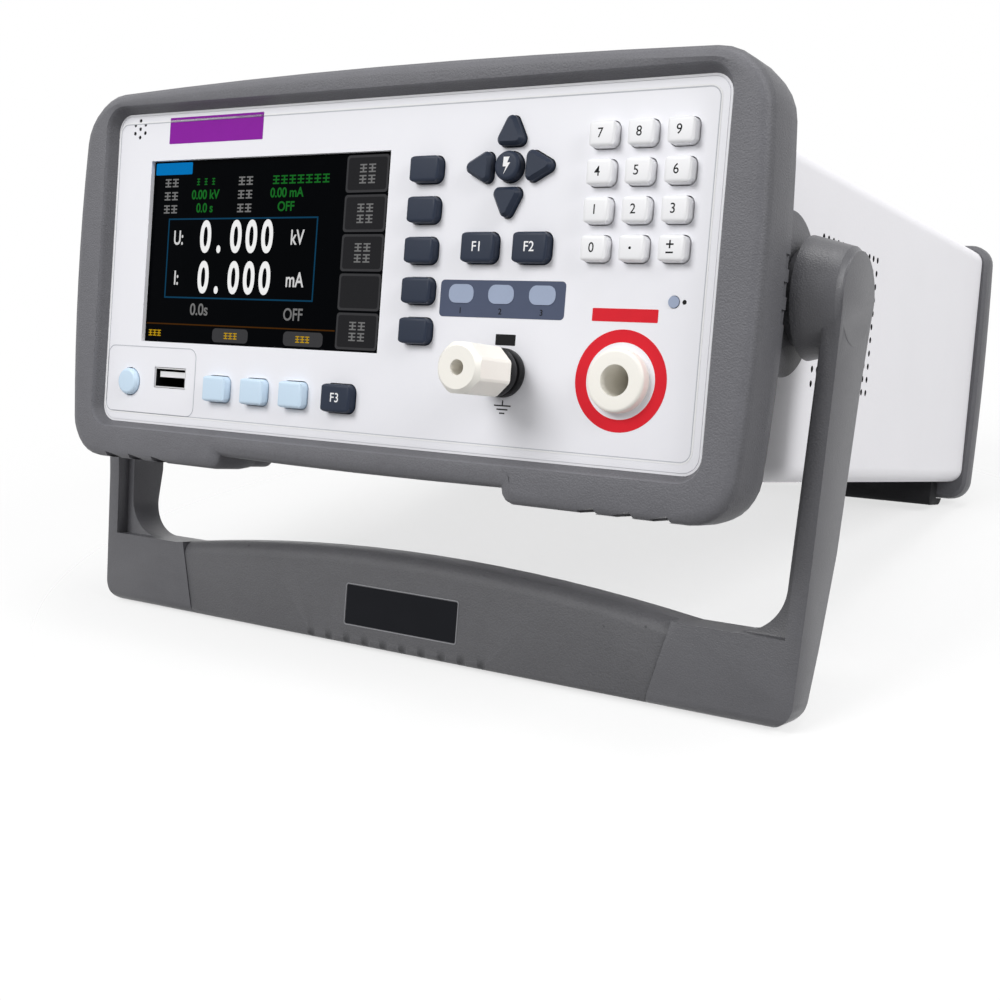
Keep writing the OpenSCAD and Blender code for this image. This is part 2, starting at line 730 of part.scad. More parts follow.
module rear_feet() {
    top = -case_h / 2;
    bottom = top - rear_foot_drop;
    long = rear_foot_rear - rear_foot_front;
    color("black") stand() difference() {
        for (x = [-1, 1]) translate([x * rear_foot_x - rear_foot_w / 2, 0, 0]) rotate([90, 0, 90])
            linear_extrude(rear_foot_w) {
                translate([rear_foot_front, bottom + rear_foot_edge])
                    square([long, rear_foot_drop - rear_foot_edge]);
                translate([rear_foot_front + 2, bottom])
                    square([long - rear_foot_edge - 2, rear_foot_edge + 1]);
                translate([rear_foot_front, bottom + 2]) square([long / 2, rear_foot_edge]);
                translate([rear_foot_front + 2, bottom + 2]) circle(2);
                at([rear_foot_rear - rear_foot_edge, bottom + rear_foot_edge]) circle(rear_foot_edge);
            }
        slab(rear_front - 0.3, 40) difference() {
            square([2 * case_w, 2 * case_h], center = true);
            translate([0, -case_h / 2 - rear_proud - rear_bow - rear_drop - 0.3 - case_h / 2])
                square([2 * case_w, case_h], center = true);
        }
    }
}

module case_sleeve() {
    color("whitesmoke") stand() difference() {
        slab(sleeve_front, sleeve_rear - sleeve_front) difference() {
            rounded(case_w, case_h, case_r);
            rounded(case_w - 2 * sheet_t, case_h - 2 * sheet_t, case_r - sheet_t);
        }
        for (i = [0:12], j = [0:10])
            translate([-case_w, pivot_y + hub_r + 9.7 + i * vent_pitch, 23.6 - j * vent_pitch])
                rotate([0, 90, 0]) cylinder(h = 2 * case_w, r = vent_r, $fn = 16);
    }
}

module chassis_tray() {
    color("silver") stand() {
        slab(sleeve_front + 1, back_y - sleeve_front - 1) intersection() {
            difference() {
                translate([0, tray_z + case_h / 2]) rounded(2 * tray_hw, case_h, case_r);
                translate([0, tray_z + case_h / 2])
                    rounded(2 * (tray_hw - tray_t), case_h - 2 * tray_t, case_r - tray_t);
            }
            translate([-case_w / 2, tray_z - 1]) square([case_w, tray_side + 1]);
        }
        for (x = [-1, 1], y = [-1, 1])
            translate([pcb_x + x * (pcb_w / 2 - post_in), pcb_y + y * (pcb_d / 2 - post_in),
                       tray_z + tray_t - eps])
                cylinder(h = pcb_z - tray_z - tray_t + eps, r = 3);
    }
}

module main_board() {
    color("darkgreen") stand() translate([pcb_x, pcb_y, pcb_z]) {
        translate([-pcb_w / 2, -pcb_d / 2, 0]) cube([pcb_w, pcb_d, 1.6]);
        translate([-30, -40, 1.6 - eps]) cube([24, 24, 3]);
        for (i = [0:2]) translate([20, -40 + i * 22, 1.6 - eps]) cylinder(h = 26, r = 8);
        translate([-44, 20, 1.6 - eps]) {
            cube([60, 6, 38]);
            for (i = [0:6]) translate([i * 9, 6 - eps, 0]) cube([2, 16, 38]);
        }
    }
}

module hv_transformer() {
    base = tray_z + tray_t;
    color("saddlebrown") stand() translate([coil_x, coil_y, base]) {
        translate([-coil_w / 2, -coil_d / 2 + 9, 0]) cube([coil_w, coil_d - 18, coil_h]);
        translate([-coil_w / 4 - 4, -coil_d / 2, coil_h / 6]) cube([coil_w / 2 + 8, coil_d, coil_h * 2 / 3]);
    }
}

module fan_frame() {
    color("dimgray") stand() translate([fan_x, back_y - fan_t, 0]) {
        difference() {
            translate([-fan_w / 2, 0, -fan_w / 2]) cube([fan_w, fan_t, fan_w]);
            rod(0, 0, -1, fan_t + 2, fan_r);
        }
        for (a = [0:90:270]) rotate([0, a, 0]) translate([-2, 0, 10]) cube([4, 3, fan_r - 9]);
        rod(0, 0, 0, 3, 12);
        rod(0, 0, 3 - eps, fan_t - 6, fan_shaft);
    }
}

module fan_rotor() {
    blades = 7;
    color("black") stand() translate([fan_x, back_y - fan_t, 0]) difference() {
        union() {
            rod(0, 0, 3.5, fan_t - 6, 11);
            intersection() {
                rod(0, 0, 4.5, fan_t - 8, fan_r - 1);
                for (i = [0:blades - 1]) rotate([0, i * 360 / blades, 0]) translate([0, fan_t / 2 + 0.5, 9])
                    rotate([0, 0, 42]) cube([1.6, fan_t, fan_r], center = false);
            }
        }
        rod(0, 0, 0, fan_t, fan_shaft + fan_gap);
    }
}

module rear_panel() {
    grid = 6;
    reach = 4;
    color("silver") stand() difference() {
        slab(back_y, back_t)
            rounded(case_w - 2 * sheet_t - 0.3, case_h - 2 * sheet_t - 0.3, case_r - sheet_t);
        slab(back_y - 1, back_t + 2) {
            for (i = [-reach:reach], j = [-reach:reach])
                if (norm([i, j]) * grid < fan_r - 3) at([fan_x + i * grid, j * grid]) circle(2.2, $fn = 20);
            at([inlet_x, inlet_z])
                square([inlet_w + 2 * inlet_wall + 0.3, inlet_h + 2 * inlet_wall + 0.3], center = true);
            at([port_x, port_z]) square([19.3, 11.3], center = true);
            for (x = [-1, 1], z = [-1, 1]) at([x * back_screw_x, z * back_screw_z]) circle(screw_r + 0.2);
        }
    }
}

module power_inlet() {
    rim = 3;
    color("black") stand() translate([inlet_x, 0, inlet_z]) {
        difference() {
            union() {
                slab(back_y + back_t, 2)
                    rounded(inlet_w + 2 * inlet_wall + 2 * rim, inlet_h + 2 * inlet_wall + 2 * rim, 3);
                slab(back_y + back_t - inlet_d - 2, inlet_d + 2 + eps)
                    square([inlet_w + 2 * inlet_wall, inlet_h + 2 * inlet_wall], center = true);
            }
            slab(back_y + back_t + 2 - inlet_d, inlet_d + 1) difference() {
                square([inlet_w, inlet_h], center = true);
                for (x = [-1, 1])
                    translate([x * inlet_w / 2, -inlet_h / 2]) rotate(45) square(6, center = true);
            }
        }
        for (q = [[0, 3.5], [-7, -3], [7, -3]])
            slab(back_y + back_t + 2 - inlet_d - eps, pin_len) at(q) square([2, 4], center = true);
    }
}

module interface_port() {
    color("silver") stand() translate([port_x, 0, port_z]) {
        slab(back_y + back_t, 1.2) rounded(30.8, 12.6, 2);
        slab(back_y - 9, 9 + back_t + eps) square([19, 11], center = true);
        slab(back_y + back_t + 1.2 - eps, 5.6) polygon([[-8.2, 4.1], [8.2, 4.1], [7, -4.1], [-7, -4.1]]);
        for (x = [-1, 1])
            slab(back_y + back_t + 1.2 - eps, 4.6) translate([x * 12.5, 0]) circle(2.6, $fn = 6);
    }
}

module screw(y, q, sense) {
    rod(q[0], q[1], sense > 0 ? y : y - 7, 7, screw_r - 0.05);
    rod(q[0], q[1], sense > 0 ? y - screw_head_t : y, screw_head_t + eps, screw_head);
}

module screws() {
    color("lightgray") stand() {
        for (x = [-1, 1], z = [-1, 1]) screw(back_y + back_t, [x * back_screw_x, z * back_screw_z], -1);
        for (q = board_screw) {
            rod(q[0], q[1], panel_t + 0.6, board_y + board_t - panel_t - 0.5, screw_r - 0.05);
            rod(q[0], q[1], board_y + board_t, screw_head_t, screw_head);
        }
    }
}

// Fixed half of each pivot: a round plate on the sleeve's side and the boss the hub turns on
module pivot_hub() {
    difference() {
        union() {
            translate([0, -plate_fore, 0]) axle(plate_x, plate_t, plate_r);
            axle(plate_x, hub_out - boss_end - plate_x - 0.4, pivot_r);
        }
        translate([plate_x - 1, -case_h, -case_h]) cube([plate_t + 2, bumper_d + 0.3 + case_h, 2 * case_h]);
    }
}

module pivot_hubs() {
    color("dimgray") stand() {
        pivot_hub();
        mirror([1, 0, 0]) pivot_hub();
    }
}

// Front view of arms and crossbar, from the pivots down
module handle_front() {
    foot_x = hub_out - arm_lean;
    flange = arm_t - web_t;
    half = [[arm_in + web_t, bar_top], [hub_out - flange, pivot_z], [hub_out - flange, pivot_z + 2 * hub_r],
            [hub_out, pivot_z + 2 * hub_r], [hub_out, pivot_z], [foot_x, bar_z + bar_corner],
            [foot_x - bar_corner, bar_z]];
    polygon(concat(half, [for (i = [len(half) - 1:-1:0]) [-half[i][0], half[i][1]]]));
    for (x = [-1, 1]) translate([x * (foot_x - bar_corner), bar_z + bar_corner]) circle(bar_corner);
    intersection() {
        translate([0, bar_top + bar_arch - arch_r]) circle(arch_r, $fn = 180);
        translate([0, bar_top]) square([2 * (arm_in - gusset_r), bar_h], center = true);
    }
}

// Thin web along the inside of the right arm, with a round gusset that runs out onto the crossbar
module handle_web() {
    sink = 0.06;
    lean = atan2(hub_out - arm_t - arm_in, pivot_z - bar_top);
    c = [arm_in + gusset_r * tan(lean) - gusset_r / cos(lean), bar_top + gusset_r - sink];
    polygon(concat([[hub_out - web_t, pivot_z], [hub_out - arm_t, pivot_z]],
                   [for (i = [0:16]) let (a = -lean - (90 - lean) * i / 16) c + gusset_r * [cos(a), sin(a)]],
                   [[c[0], bar_top - web_t], [arm_in + 2 * web_t, bar_top - web_t]]));
}

// Side view of arm and crossbar
module handle_side() {
    half_top = 10.4;
    half_low = 9;
    low_y = bar_front + half_low;
    polygon([[pivot_y - hub_face * 0.99, pivot_z], [pivot_y - half_top, pivot_z - 20],
             [low_y - half_low, bar_top + 20],
             [bar_front, bar_z + bar_nose], [bar_front + bar_nose, bar_z], [bar_c[0], bar_z],
             [bar_rear, bar_c[1]], [bar_rear + 3.5, bar_top - 3], [low_y + half_low, bar_top + 22],
             [pivot_y + half_top, pivot_z - 20], [pivot_y + hub_face * 0.99, pivot_z]]);
    at([pivot_y, pivot_z]) circle(hub_face);
    at([bar_front + bar_nose, bar_z + bar_nose]) circle(bar_nose);
    at(bar_c) circle(bar_edge);
}

// Trapezoid area of the grip on the crossbar's front, shrunk by g
module grip_area(g) {
    top = bar_top + 2 * bar_arch;
    low = bar_z - 1;
    function half(z) = grip_half - g - grip_slant * (bar_top - z) / bar_h;
    polygon([[-half(top), top], [half(top), top], [half(low), low], [-half(low), low]]);
}

module handle_body() {
    intersection() {
        union() {
            slab(pivot_y - 2 * hub_r, 4 * hub_r) handle_front();
            for (x = [0, 1]) mirror([x, 0, 0]) slab(web_front, 2 * hub_r) handle_web();
        }
        translate([-case_w, 0, 0]) rotate([90, 0, 90]) linear_extrude(2 * case_w) handle_side();
    }
}

module handle_frame() {
    color("dimgray") stand() difference() {
        union() {
            handle_body();
            for (x = [0, 1]) mirror([x, 0, 0]) {
                axle(hub_in, hub_out - hub_in - 1.7, hub_r, hub_taper);
                axle(hub_out - 1.75, 1.45, hub_taper, hub_face - 0.3);
                axle(plate_x + plate_t + 0.3, hub_in - plate_x - plate_t, neck_r);
            }
        }
        for (x = [0, 1]) mirror([x, 0, 0]) axle(plate_x, hub_out - boss_end - plate_x, pivot_r + pivot_gap);
        slab(bar_front - 1, grip_t + 1) grip_area(0);
    }
}

// Disc whose rim follows the arch, with a rounded front edge
module arch_disc() {
    front = bar_front + 0.3;
    translate([0, 0, bar_top + bar_arch - arch_r]) rotate([-90, 0, 0]) rotate_extrude($fn = 180) {
        translate([arch_r / 2, front]) square([arch_r / 2 - grip_round, 2 * grip_t]);
        translate([arch_r / 2, front + grip_round]) square([arch_r / 2, 2 * grip_t]);
        translate([arch_r - grip_round, front + grip_round]) circle(grip_round, $fn = 32);
    }
}

module handle_grip() {
    color("dimgray") stand() difference() {
        intersection() {
            handle_body();
            slab(bar_front + 0.3, grip_t - 0.3 - seat_gap) grip_area(seat_gap);
            arch_disc();
        }
        for (i = [0:groove_count - 1])
            translate([(i - (groove_count - 1) / 2) * groove_pitch, bar_front - groove_r * 0.35, bar_z])
                rotate([17, 0, 0]) cylinder(h = 14, r = groove_r, center = true, $fn = 24);
    }
}

for (i = [0:11]) color("white") key(num_at(i), num_w, num_h, 1.8);
for (i = [0:4]) color("darkslategray") key(soft_at(i), soft_w, soft_h, 2.2);
for (i = [0:2]) color("lightblue") key(pale_at(i), pale_w, pale_h, 1.9);
for (i = [0:1]) color("darkslategray") key(func_at(i), func_w, func_h, 2.2);
for (i = [0:3]) color("darkslategray") arrow_key(i);
color("darkslategray") round_key([nav_x, nav_z], nav_r, key_rise);  // centre_key
color("darkslategray") key([system_x, row_z], func_w, func_h, 2.2);  // system_key
color("lightblue") round_key([power_x, power_z], power_dia / 2, 1.6);  // power_button
case_sleeve();
chassis_tray();
rear_panel();
rear_bumper();
rear_feet();
front_bumper();
front_panel();
panel_overlay();
display_window();
lcd_module();
keypad_mat();
keypad_board();
indicator_lenses();
usb_port();
sounder();
hv_socket();
hv_contact();
low_collar();
low_stud();
low_insert();
low_cap();
pivot_hubs();
handle_frame();
handle_grip();
main_board();
hv_transformer();
fan_frame();
fan_rotor();
power_inlet();
interface_port();
screws();
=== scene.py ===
# %% [markdown]
# # A bench tester on its swing handle
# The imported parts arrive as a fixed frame: they are already the right size and in the right place.
# This lesson gives each of them a finish, and adds the thin things that a drawing of solids leaves
# out, such as print, key legends and the picture on the display.

import json
import math

import bmesh
import bpy
from mathutils import Matrix, Vector


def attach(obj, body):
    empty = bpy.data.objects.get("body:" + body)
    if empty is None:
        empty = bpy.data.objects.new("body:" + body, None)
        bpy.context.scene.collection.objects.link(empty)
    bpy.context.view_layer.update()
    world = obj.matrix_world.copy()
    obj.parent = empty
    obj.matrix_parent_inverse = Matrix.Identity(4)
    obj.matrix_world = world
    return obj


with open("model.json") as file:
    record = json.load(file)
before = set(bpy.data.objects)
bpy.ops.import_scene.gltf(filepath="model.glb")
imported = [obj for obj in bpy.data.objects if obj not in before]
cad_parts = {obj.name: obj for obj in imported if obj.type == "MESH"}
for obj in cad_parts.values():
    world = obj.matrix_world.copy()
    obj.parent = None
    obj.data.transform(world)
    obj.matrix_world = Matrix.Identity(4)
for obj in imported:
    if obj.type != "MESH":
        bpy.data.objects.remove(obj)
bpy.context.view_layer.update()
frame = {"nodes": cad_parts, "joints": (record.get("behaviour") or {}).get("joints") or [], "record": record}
nodes = frame["nodes"]

# %% [markdown]
# ## Working upright
# The tester leans back on its handle, which makes every place on its panel awkward to write down.
# One way out is to turn each piece after making it. Here a single matrix does that for all of them:
# pieces are drawn upright in millimetres, X to the right, Y into the panel and Z up, and the matrix
# takes them to the leaning frame. Its directions come from the frame's own joints, so that they
# follow if the lean changes.

# %% The leaning frame
MM = 0.001
joint = {j["name"]: j for j in frame["joints"]}
RIGHT = Vector((1, 0, 0))
INWARD = Vector(joint["key_5_press"]["axis"]).normalized()
UPWARD = RIGHT.cross(INWARD)


def reach(node, axis):
    """Lowest and highest place of a part along an axis."""
    places = [v.co.dot(axis) for v in nodes[node].data.vertices]
    return min(places), max(places)


panel_face = reach("front_panel", INWARD)[0]
sleeve_middle = sum(reach("case_sleeve", UPWARD)) / 2
LEAN = Matrix.Translation(INWARD * panel_face + UPWARD * sleeve_middle) @ (
    Matrix((RIGHT, INWARD, UPWARD)).transposed().to_4x4() @ Matrix.Scale(MM, 4))
print("leans back by", round(math.degrees(math.asin(-INWARD.z)), 2), "degrees")

# %% [markdown]
# ## Camera and light
# The photograph is a product picture on white: a large soft light from the upper left, a paler one
# from the right, and a white sweep that fades out. Spotlights would draw hard shadows, so square
# area lamps stand in for the studio's soft boxes. The camera stands close, to the right of the
# panel, which gives the strong perspective.

# %% Camera
CAMERA_AT = LEAN @ Vector((242.08, -305.43, -30.74))
CAMERA_AIM = LEAN @ Vector((28.59, 31.87, -56.28))
CAMERA_ROLL = math.radians(-3.48)
FOCAL_LENGTH = 49.28
NEAREST = 0.01

scene = bpy.context.scene
scene.view_settings.view_transform = "Standard"
camera = bpy.data.objects.new("camera", bpy.data.cameras.new("camera"))
camera.data.lens = FOCAL_LENGTH
camera.data.clip_start = NEAREST
camera.location = CAMERA_AT
camera.rotation_mode = "QUATERNION"
camera.rotation_quaternion = (CAMERA_AIM - CAMERA_AT).to_track_quat("-Z", "Y") @ (
    Matrix.Rotation(CAMERA_ROLL, 4, "Z").to_quaternion())
scene.collection.objects.link(camera)
scene.camera = camera
print("camera", round((CAMERA_AIM - CAMERA_AT).length, 3), "m from its aim")

# %% Lights
LIGHT_AIM = Vector((0, 0, 0.08))
LIGHTS = {  # place and size in metres, power in watts
    "key_light": ((-0.4, -0.92, 1.0), 0.7, 11.6),
    "right_fill": ((1.1, -0.15, 0.8), 0.6, 8.4),
    "top_light": ((0.2, 0.2, 1.2), 0.5, 4.2)}


def soft_light(name, place, size, power):
    """A square area lamp that faces the middle of the tester."""
    lamp = bpy.data.lights.new(name, "AREA")
    lamp.size = size
    lamp.energy = power
    holder = bpy.data.objects.new(name, lamp)
    holder.location = place
    holder.rotation_mode = "QUATERNION"
    holder.rotation_quaternion = (LIGHT_AIM - Vector(place)).to_track_quat("-Z", "Y")
    scene.collection.objects.link(holder)


for name, (place, size, power) in LIGHTS.items():
    soft_light(name, place, size, power)
print("lights:", ", ".join(LIGHTS))

# %% [markdown]
# ## Shader maths as plain sums
# A finish is a small network of nodes. Wiring each node by hand hides the idea, so a socket is
# wrapped in a class whose operators add Math nodes. `1 - mask * 0.2` then reads as it would on
# paper. Everything else, such as a noise or a colour mix, comes from one method.


# %% Sockets that add up
class Flow:
    """An output socket; arithmetic on it adds Math nodes."""

    def __init__(self, finish, socket):
        self.finish = finish
        self.socket = socket

    def maths(self, operation, *terms):
        return self.finish.node("ShaderNodeMath", {"operation": operation}, dict(enumerate(terms)))

    def __add__(self, other): return self.maths("ADD", self, other)
    def __radd__(self, other): return self.maths("ADD", other, self)
    def __sub__(self, other): return self.maths("SUBTRACT", self, other)
    def __rsub__(self, other): return self.maths("SUBTRACT", other, self)
    def __mul__(self, other): return self.maths("MULTIPLY", self, other)
    def __rmul__(self, other): return self.maths("MULTIPLY", other, self)
    def __gt__(self, other): return self.maths("GREATER_THAN", self, other)
    def __lt__(self, other): return self.maths("LESS_THAN", self, other)
    def __abs__(self): return self.maths("ABSOLUTE", self)


print("sockets add, subtract, multiply and compare")


# %% A finish and its nodes
class Finish:
    """A material with one Principled shader, and a method that adds any other node."""

    def __init__(self, name, colour, roughness, **fixed):
        self.material = bpy.data.materials.new(name)
        self.material.use_nodes = True
        self.tree = self.material.node_tree
        self.shader = self.tree.nodes["Principled BSDF"]
        self.colour = colour
        self.shader.inputs["Base Color"].default_value = (*colour, 1)
        self.shader.inputs["Roughness"].default_value = roughness
        for socket, value in fixed.items():
            self.shader.inputs[socket.replace("_", " ")].default_value = value

    def node(self, kind, settings=None, inputs=None, out=0):
        """Adds a node, sets it up, feeds it, and returns one of its outputs."""
        made = self.tree.nodes.new(kind)
        for key, value in (settings or {}).items():
            setattr(made, key, value)
        for key, value in (inputs or {}).items():
            self.feed(self.pick(made.inputs, key), value)
        return Flow(self, self.pick(made.outputs, out))

    @staticmethod
    def pick(sockets, key):
        """A socket by its number, its identifier or its name."""
        if isinstance(key, int):
            return sockets[key]
        return next(s for s in sockets if key in (s.identifier, s.name))

    def feed(self, socket, value):
        """Links a socket, or sets its value."""
        if isinstance(value, Flow):
            self.tree.links.new(value.socket, socket)
        elif isinstance(value, tuple) and socket.type == "RGBA" and len(value) == 3:
            socket.default_value = (*value, 1)
        else:
            socket.default_value = value

    def place(self):
        """Object coordinates, in metres."""
        return self.node("ShaderNodeTexCoord", out="Object")

    def along(self, axis):
        """Place along an axis, in metres."""
        return self.node("ShaderNodeVectorMath", {"operation": "DOT_PRODUCT"},
                         {0: self.place(), 1: tuple(axis)}, "Value")

    def fade(self, value, start, end, most=1.0):
        """Falls smoothly from most to nothing while a value goes from start to end."""
        return self.node("ShaderNodeMapRange", {"interpolation_type": "SMOOTHSTEP"},
                         {"Value": value, "From Min": start, "From Max": end, "To Min": most, "To Max": 0.0})

    def noise(self, grain, detail=2.0, stretch=(1, 1, 1)):
        """Noise whose blobs are about one grain across, in millimetres."""
        where = self.node("ShaderNodeMapping", {}, {"Vector": self.place(), "Scale": stretch})
        return self.node("ShaderNodeTexNoise", {},
                         {"Vector": where, "Scale": 1 / (grain * MM), "Detail": detail})

    def cells(self, pitch):
        """Distance from the nearest of many scattered points, about one pitch apart in millimetres."""
        return self.node("ShaderNodeTexVoronoi", {}, {"Vector": self.place(), "Scale": 1 / (pitch * MM)})

    def mix(self, factor, first, second):
        """A colour between two colours."""
        return self.node("ShaderNodeMix", {"data_type": "RGBA"},
                         {"Factor_Float": factor, "A_Color": first, "B_Color": second}, "Result_Color")

    def tone(self, factor, dark=0.9, light=1.06):
        """The finish's own colour, from a darker to a lighter cast."""
        casts = [tuple(min(1, c * by) for c in self.colour) for by in (dark, light)]
        return self.mix(factor, *casts)

    def paint(self, colour=None, roughness=None, height=None, depth=0.05, emission=None):
        """Links what varies over the surface into the shader; depth is in millimetres."""
        varied = {"Base Color": colour, "Roughness": roughness, "Emission Color": emission}
        if height is not None:
            varied["Normal"] = self.node("ShaderNodeBump", {},
                                         {"Height": height, "Distance": depth * MM, "Strength": 1.0})
        for socket, value in varied.items():
            if value is not None:
                self.feed(self.shader.inputs[socket], value)
        return self.material


def srgb(red, green, blue):
    """A colour written as on screen, 0 to 255, in the linear values that shaders use."""
    return tuple((v / 255 / 12.92) if v <= 10 else ((v / 255 + 0.055) / 1.055) ** 2.4
                 for v in (red, green, blue))


print("mid grey on screen is", round(srgb(128, 128, 128)[0], 3), "in a shader")

# %% [markdown]
# ## Moulded grey: bumpers and handle
# The bumpers and the handle are moulded with a spark-eroded skin: a dull grey with a pinhead grain
# that catches light, and faint scuffs where hands and benches rub. An image would tie the grain to
# a map, so noises in object space do it: one for grain, one for slow mottling and a stretched one
# for the faint streaks of handling.
#
# Two places differ. The front bumper's face gets painted light, a shade lighter than its sides. The
# grip has a few pinholes, and the left flanks of its finger grooves get painted shade. Both are masks
# made from object coordinates, so that they stay in place when the handle swings.

# %% Masks on moulded parts
FACE_NEAR, FACE_FAR = 0.7, 1.9  # millimetres behind the bumper's front
GROOVES, GROOVE_PITCH = 10, 7.1
GROOVE_FOOT, GROOVE_TOP = 0.8, 6.0  # millimetres above the floor
GROOVE_LEAD, GROOVE_BEND = 0.27, 0.12  # shares of the pitch
FLANK_NEAR, FLANK_FAR = 0.05, 0.45
FROM_FLOOR = (0, 0, 1)


def rubbed_face(finish):
    """Painted light: one on the front bumper's face, and nothing on its sides and on all that lies behind it.
    """
    front = reach("front_bumper", INWARD)[0]
    return finish.fade(finish.along(INWARD), front + FACE_NEAR * MM, front + FACE_FAR * MM)


def groove_shade(finish):
    """Painted shade at the left of each finger groove along the grip's lower edge, and clear elsewhere."""
    height = finish.along(FROM_FLOOR)
    step = finish.along(RIGHT) * (1 / (GROOVE_PITCH * MM)) + (GROOVES - 1) / 2 + GROOVE_LEAD
    bent = step.maths("FRACT", step) - height * (GROOVE_BEND / (GROOVE_TOP * MM))
    flank = finish.fade(bent, FLANK_NEAR, FLANK_FAR)
    low = finish.fade(height, GROOVE_FOOT * MM, GROOVE_TOP * MM)
    return flank * low * (step > 0) * (step < GROOVES)


print(GROOVES, "grooves, shaded over", round((GROOVES - 1) * GROOVE_PITCH, 1), "mm")

# %% Moulded finishes
MOTTLE, STREAK, STREAK_STRETCH = 7.0, 1.6, (0.12, 0.5, 1.0)
DARK, LIGHT = 0.66, 1.34
PIT_PITCH, PIT_SIZE = 12.0, 0.035
# The second grey is painted shade for the finger grooves.
PIT_GREY, GROOVE_SHADE_GREY = srgb(44, 44, 46), srgb(28, 28, 30)


def moulded_grey(name, colour, grain, depth, roughness, specular, gripped=False, face_lit_gain=0.0):
    """Grain and depth are in millimetres; face_lit_gain is how many times lighter the painted light makes the
    bumper's face.
    """
    finish = Finish(name, colour, roughness, Specular_IOR_Level=specular)
    skin = finish.noise(grain)
    mottle = finish.noise(MOTTLE, 4.0)
    streak = finish.noise(STREAK, 3.0, STREAK_STRETCH)
    blend = skin * 0.6 + mottle * 0.25 + streak * 0.15
    cast = finish.tone(blend, DARK, LIGHT)
    height = skin + mottle * 0.2
    # Painted light: the front bumper's face is painted lighter than its sides.
    if face_lit_gain:
        cast = finish.mix(rubbed_face(finish), cast, finish.tone(blend, DARK * face_lit_gain, LIGHT * face_lit_gain))
    if gripped:
        pit = finish.cells(PIT_PITCH) < PIT_SIZE
        cast = finish.mix(pit * 0.6, cast, PIT_GREY)
        # Painted shade on the left flank of each finger groove.
        cast = finish.mix(groove_shade(finish) * 0.75, cast, GROOVE_SHADE_GREY)
        height = height - pit * 3.0
    return finish.paint(cast, roughness - 0.1 + skin * 0.16 + streak * 0.06, height, depth)


BUMPER = moulded_grey("bumper_grain", srgb(93, 93, 97), 0.45, 0.18, 0.46, 0.3, face_lit_gain=1.3)
HANDLE = moulded_grey("handle_grain", srgb(85, 85, 89), 0.4, 0.1, 0.38, 0.5)
GRIP = moulded_grey("grip_skin", srgb(93, 93, 96), 0.5, 0.2, 0.5, 0.35, gripped=True)
FOOT = moulded_grey("foot_rubber_skin", srgb(34, 34, 36), 0.5, 0.08, 0.7, 0.15)
# The black also stands as painted shade inside the USB socket.
BLACK = moulded_grey("black_plastic_and_shade_grain", srgb(20, 20, 22), 0.35, 0.03, 0.4, 0.2)
print("moulded:", ", ".join(m.name for m in (BUMPER, HANDLE, GRIP, FOOT, BLACK)))

# %% [markdown]
# ## Paint, film and key skins
# The sleeve is powder coated, which dries with a fine orange-peel, and through its vents only shade
# shows. A second material on the inner faces would need the mesh cut up, so a mask by place paints
# shade on whatever lies under the painted skin. The panel is a pale moulding under a printed film,
# smoother and a touch cooler. Keys are satin, each kind in its own colour.

# %% Powder coat
WALL_SKIN, WALL_CORNER = 0.1, 6.0
# Painted shade for the inside of the sleeve and its vent holes.
INNER_SHADE_GREY = srgb(34, 34, 36)


def bare_inside(finish):
    """Painted shade: one inside the sleeve's side walls and in their vent holes, and nothing on its painted
    skin.
    """
    half_w = reach("case_sleeve", RIGHT)[1]
    half_h = reach("case_sleeve", UPWARD)[1] - sleeve_middle
    far_out = abs(finish.along(RIGHT))
    far_up = abs(finish.along(UPWARD) - sleeve_middle)
    return (far_out < half_w - WALL_SKIN * MM) * (far_up < half_h - WALL_CORNER * MM)


def powder_coat(name, colour, inner_shaded=False):
    finish = Finish(name, colour, 0.5, Specular_IOR_Level=0.4)
    peel = finish.noise(0.8)
    cloud = finish.noise(30.0)
    coat = finish.tone(cloud * 0.6 + peel * 0.4, 0.95, 1.03)
    # Painted shade inside the sleeve's walls and vent holes.
    if inner_shaded:
        coat = finish.mix(bare_inside(finish), coat, INNER_SHADE_GREY)
    return finish.paint(coat, 0.44 + peel * 0.14, peel, 0.035)


CASE = powder_coat("case_powder_coat", srgb(248, 247, 251), inner_shaded=True)
REAR = powder_coat("rear_powder_coat", srgb(224, 223, 227))
print("powder coats:", CASE.name, REAR.name)

# %% Satin finishes
SLOW = 9.0


def satin(name, colour, grain, roughness, depth, spread, **fixed):
    """Grain and depth are in millimetres; spread is how far the tone strays from the colour."""
    finish = Finish(name, colour, roughness, **fixed)
    fine = finish.noise(grain)
    slow = finish.noise(SLOW)
    cast = finish.tone(fine * 0.4 + slow * 0.6, 1 - spread, 1 + spread)
    return finish.paint(cast, roughness - 0.06 + fine * 0.12, fine, depth)


PANEL = satin("panel_satin", srgb(236, 236, 240), 0.4, 0.42, 0.012, 0.05)
FILM = satin("film_satin", srgb(240, 240, 245), 0.25, 0.4, 0.008, 0.02)
WHITE_KEY = satin("white_key_satin", srgb(240, 240, 242), 0.3, 0.4, 0.01, 0.03)
NAVY_KEY = satin("navy_key_satin", srgb(38, 46, 62), 0.35, 0.42, 0.02, 0.12, Specular_IOR_Level=0.2)
PALE_KEY = satin("pale_key_satin", srgb(204, 225, 243), 0.3, 0.38, 0.008, 0.03)
IVORY = satin("ivory_insulator", srgb(250, 247, 239), 0.35, 0.34, 0.012, 0.03)
SILICONE = satin("silicone_sheet", srgb(200, 200, 200), 0.4, 0.6, 0.02, 0.08)
LENS = satin("lens_diffuser", srgb(160, 172, 196), 0.5, 0.3, 0.006, 0.06, Specular_IOR_Level=0.25)
SATINS = (PANEL, FILM, WHITE_KEY, NAVY_KEY, PALE_KEY, IVORY, SILICONE, LENS)
print("satin:", ", ".join(m.name for m in SATINS))

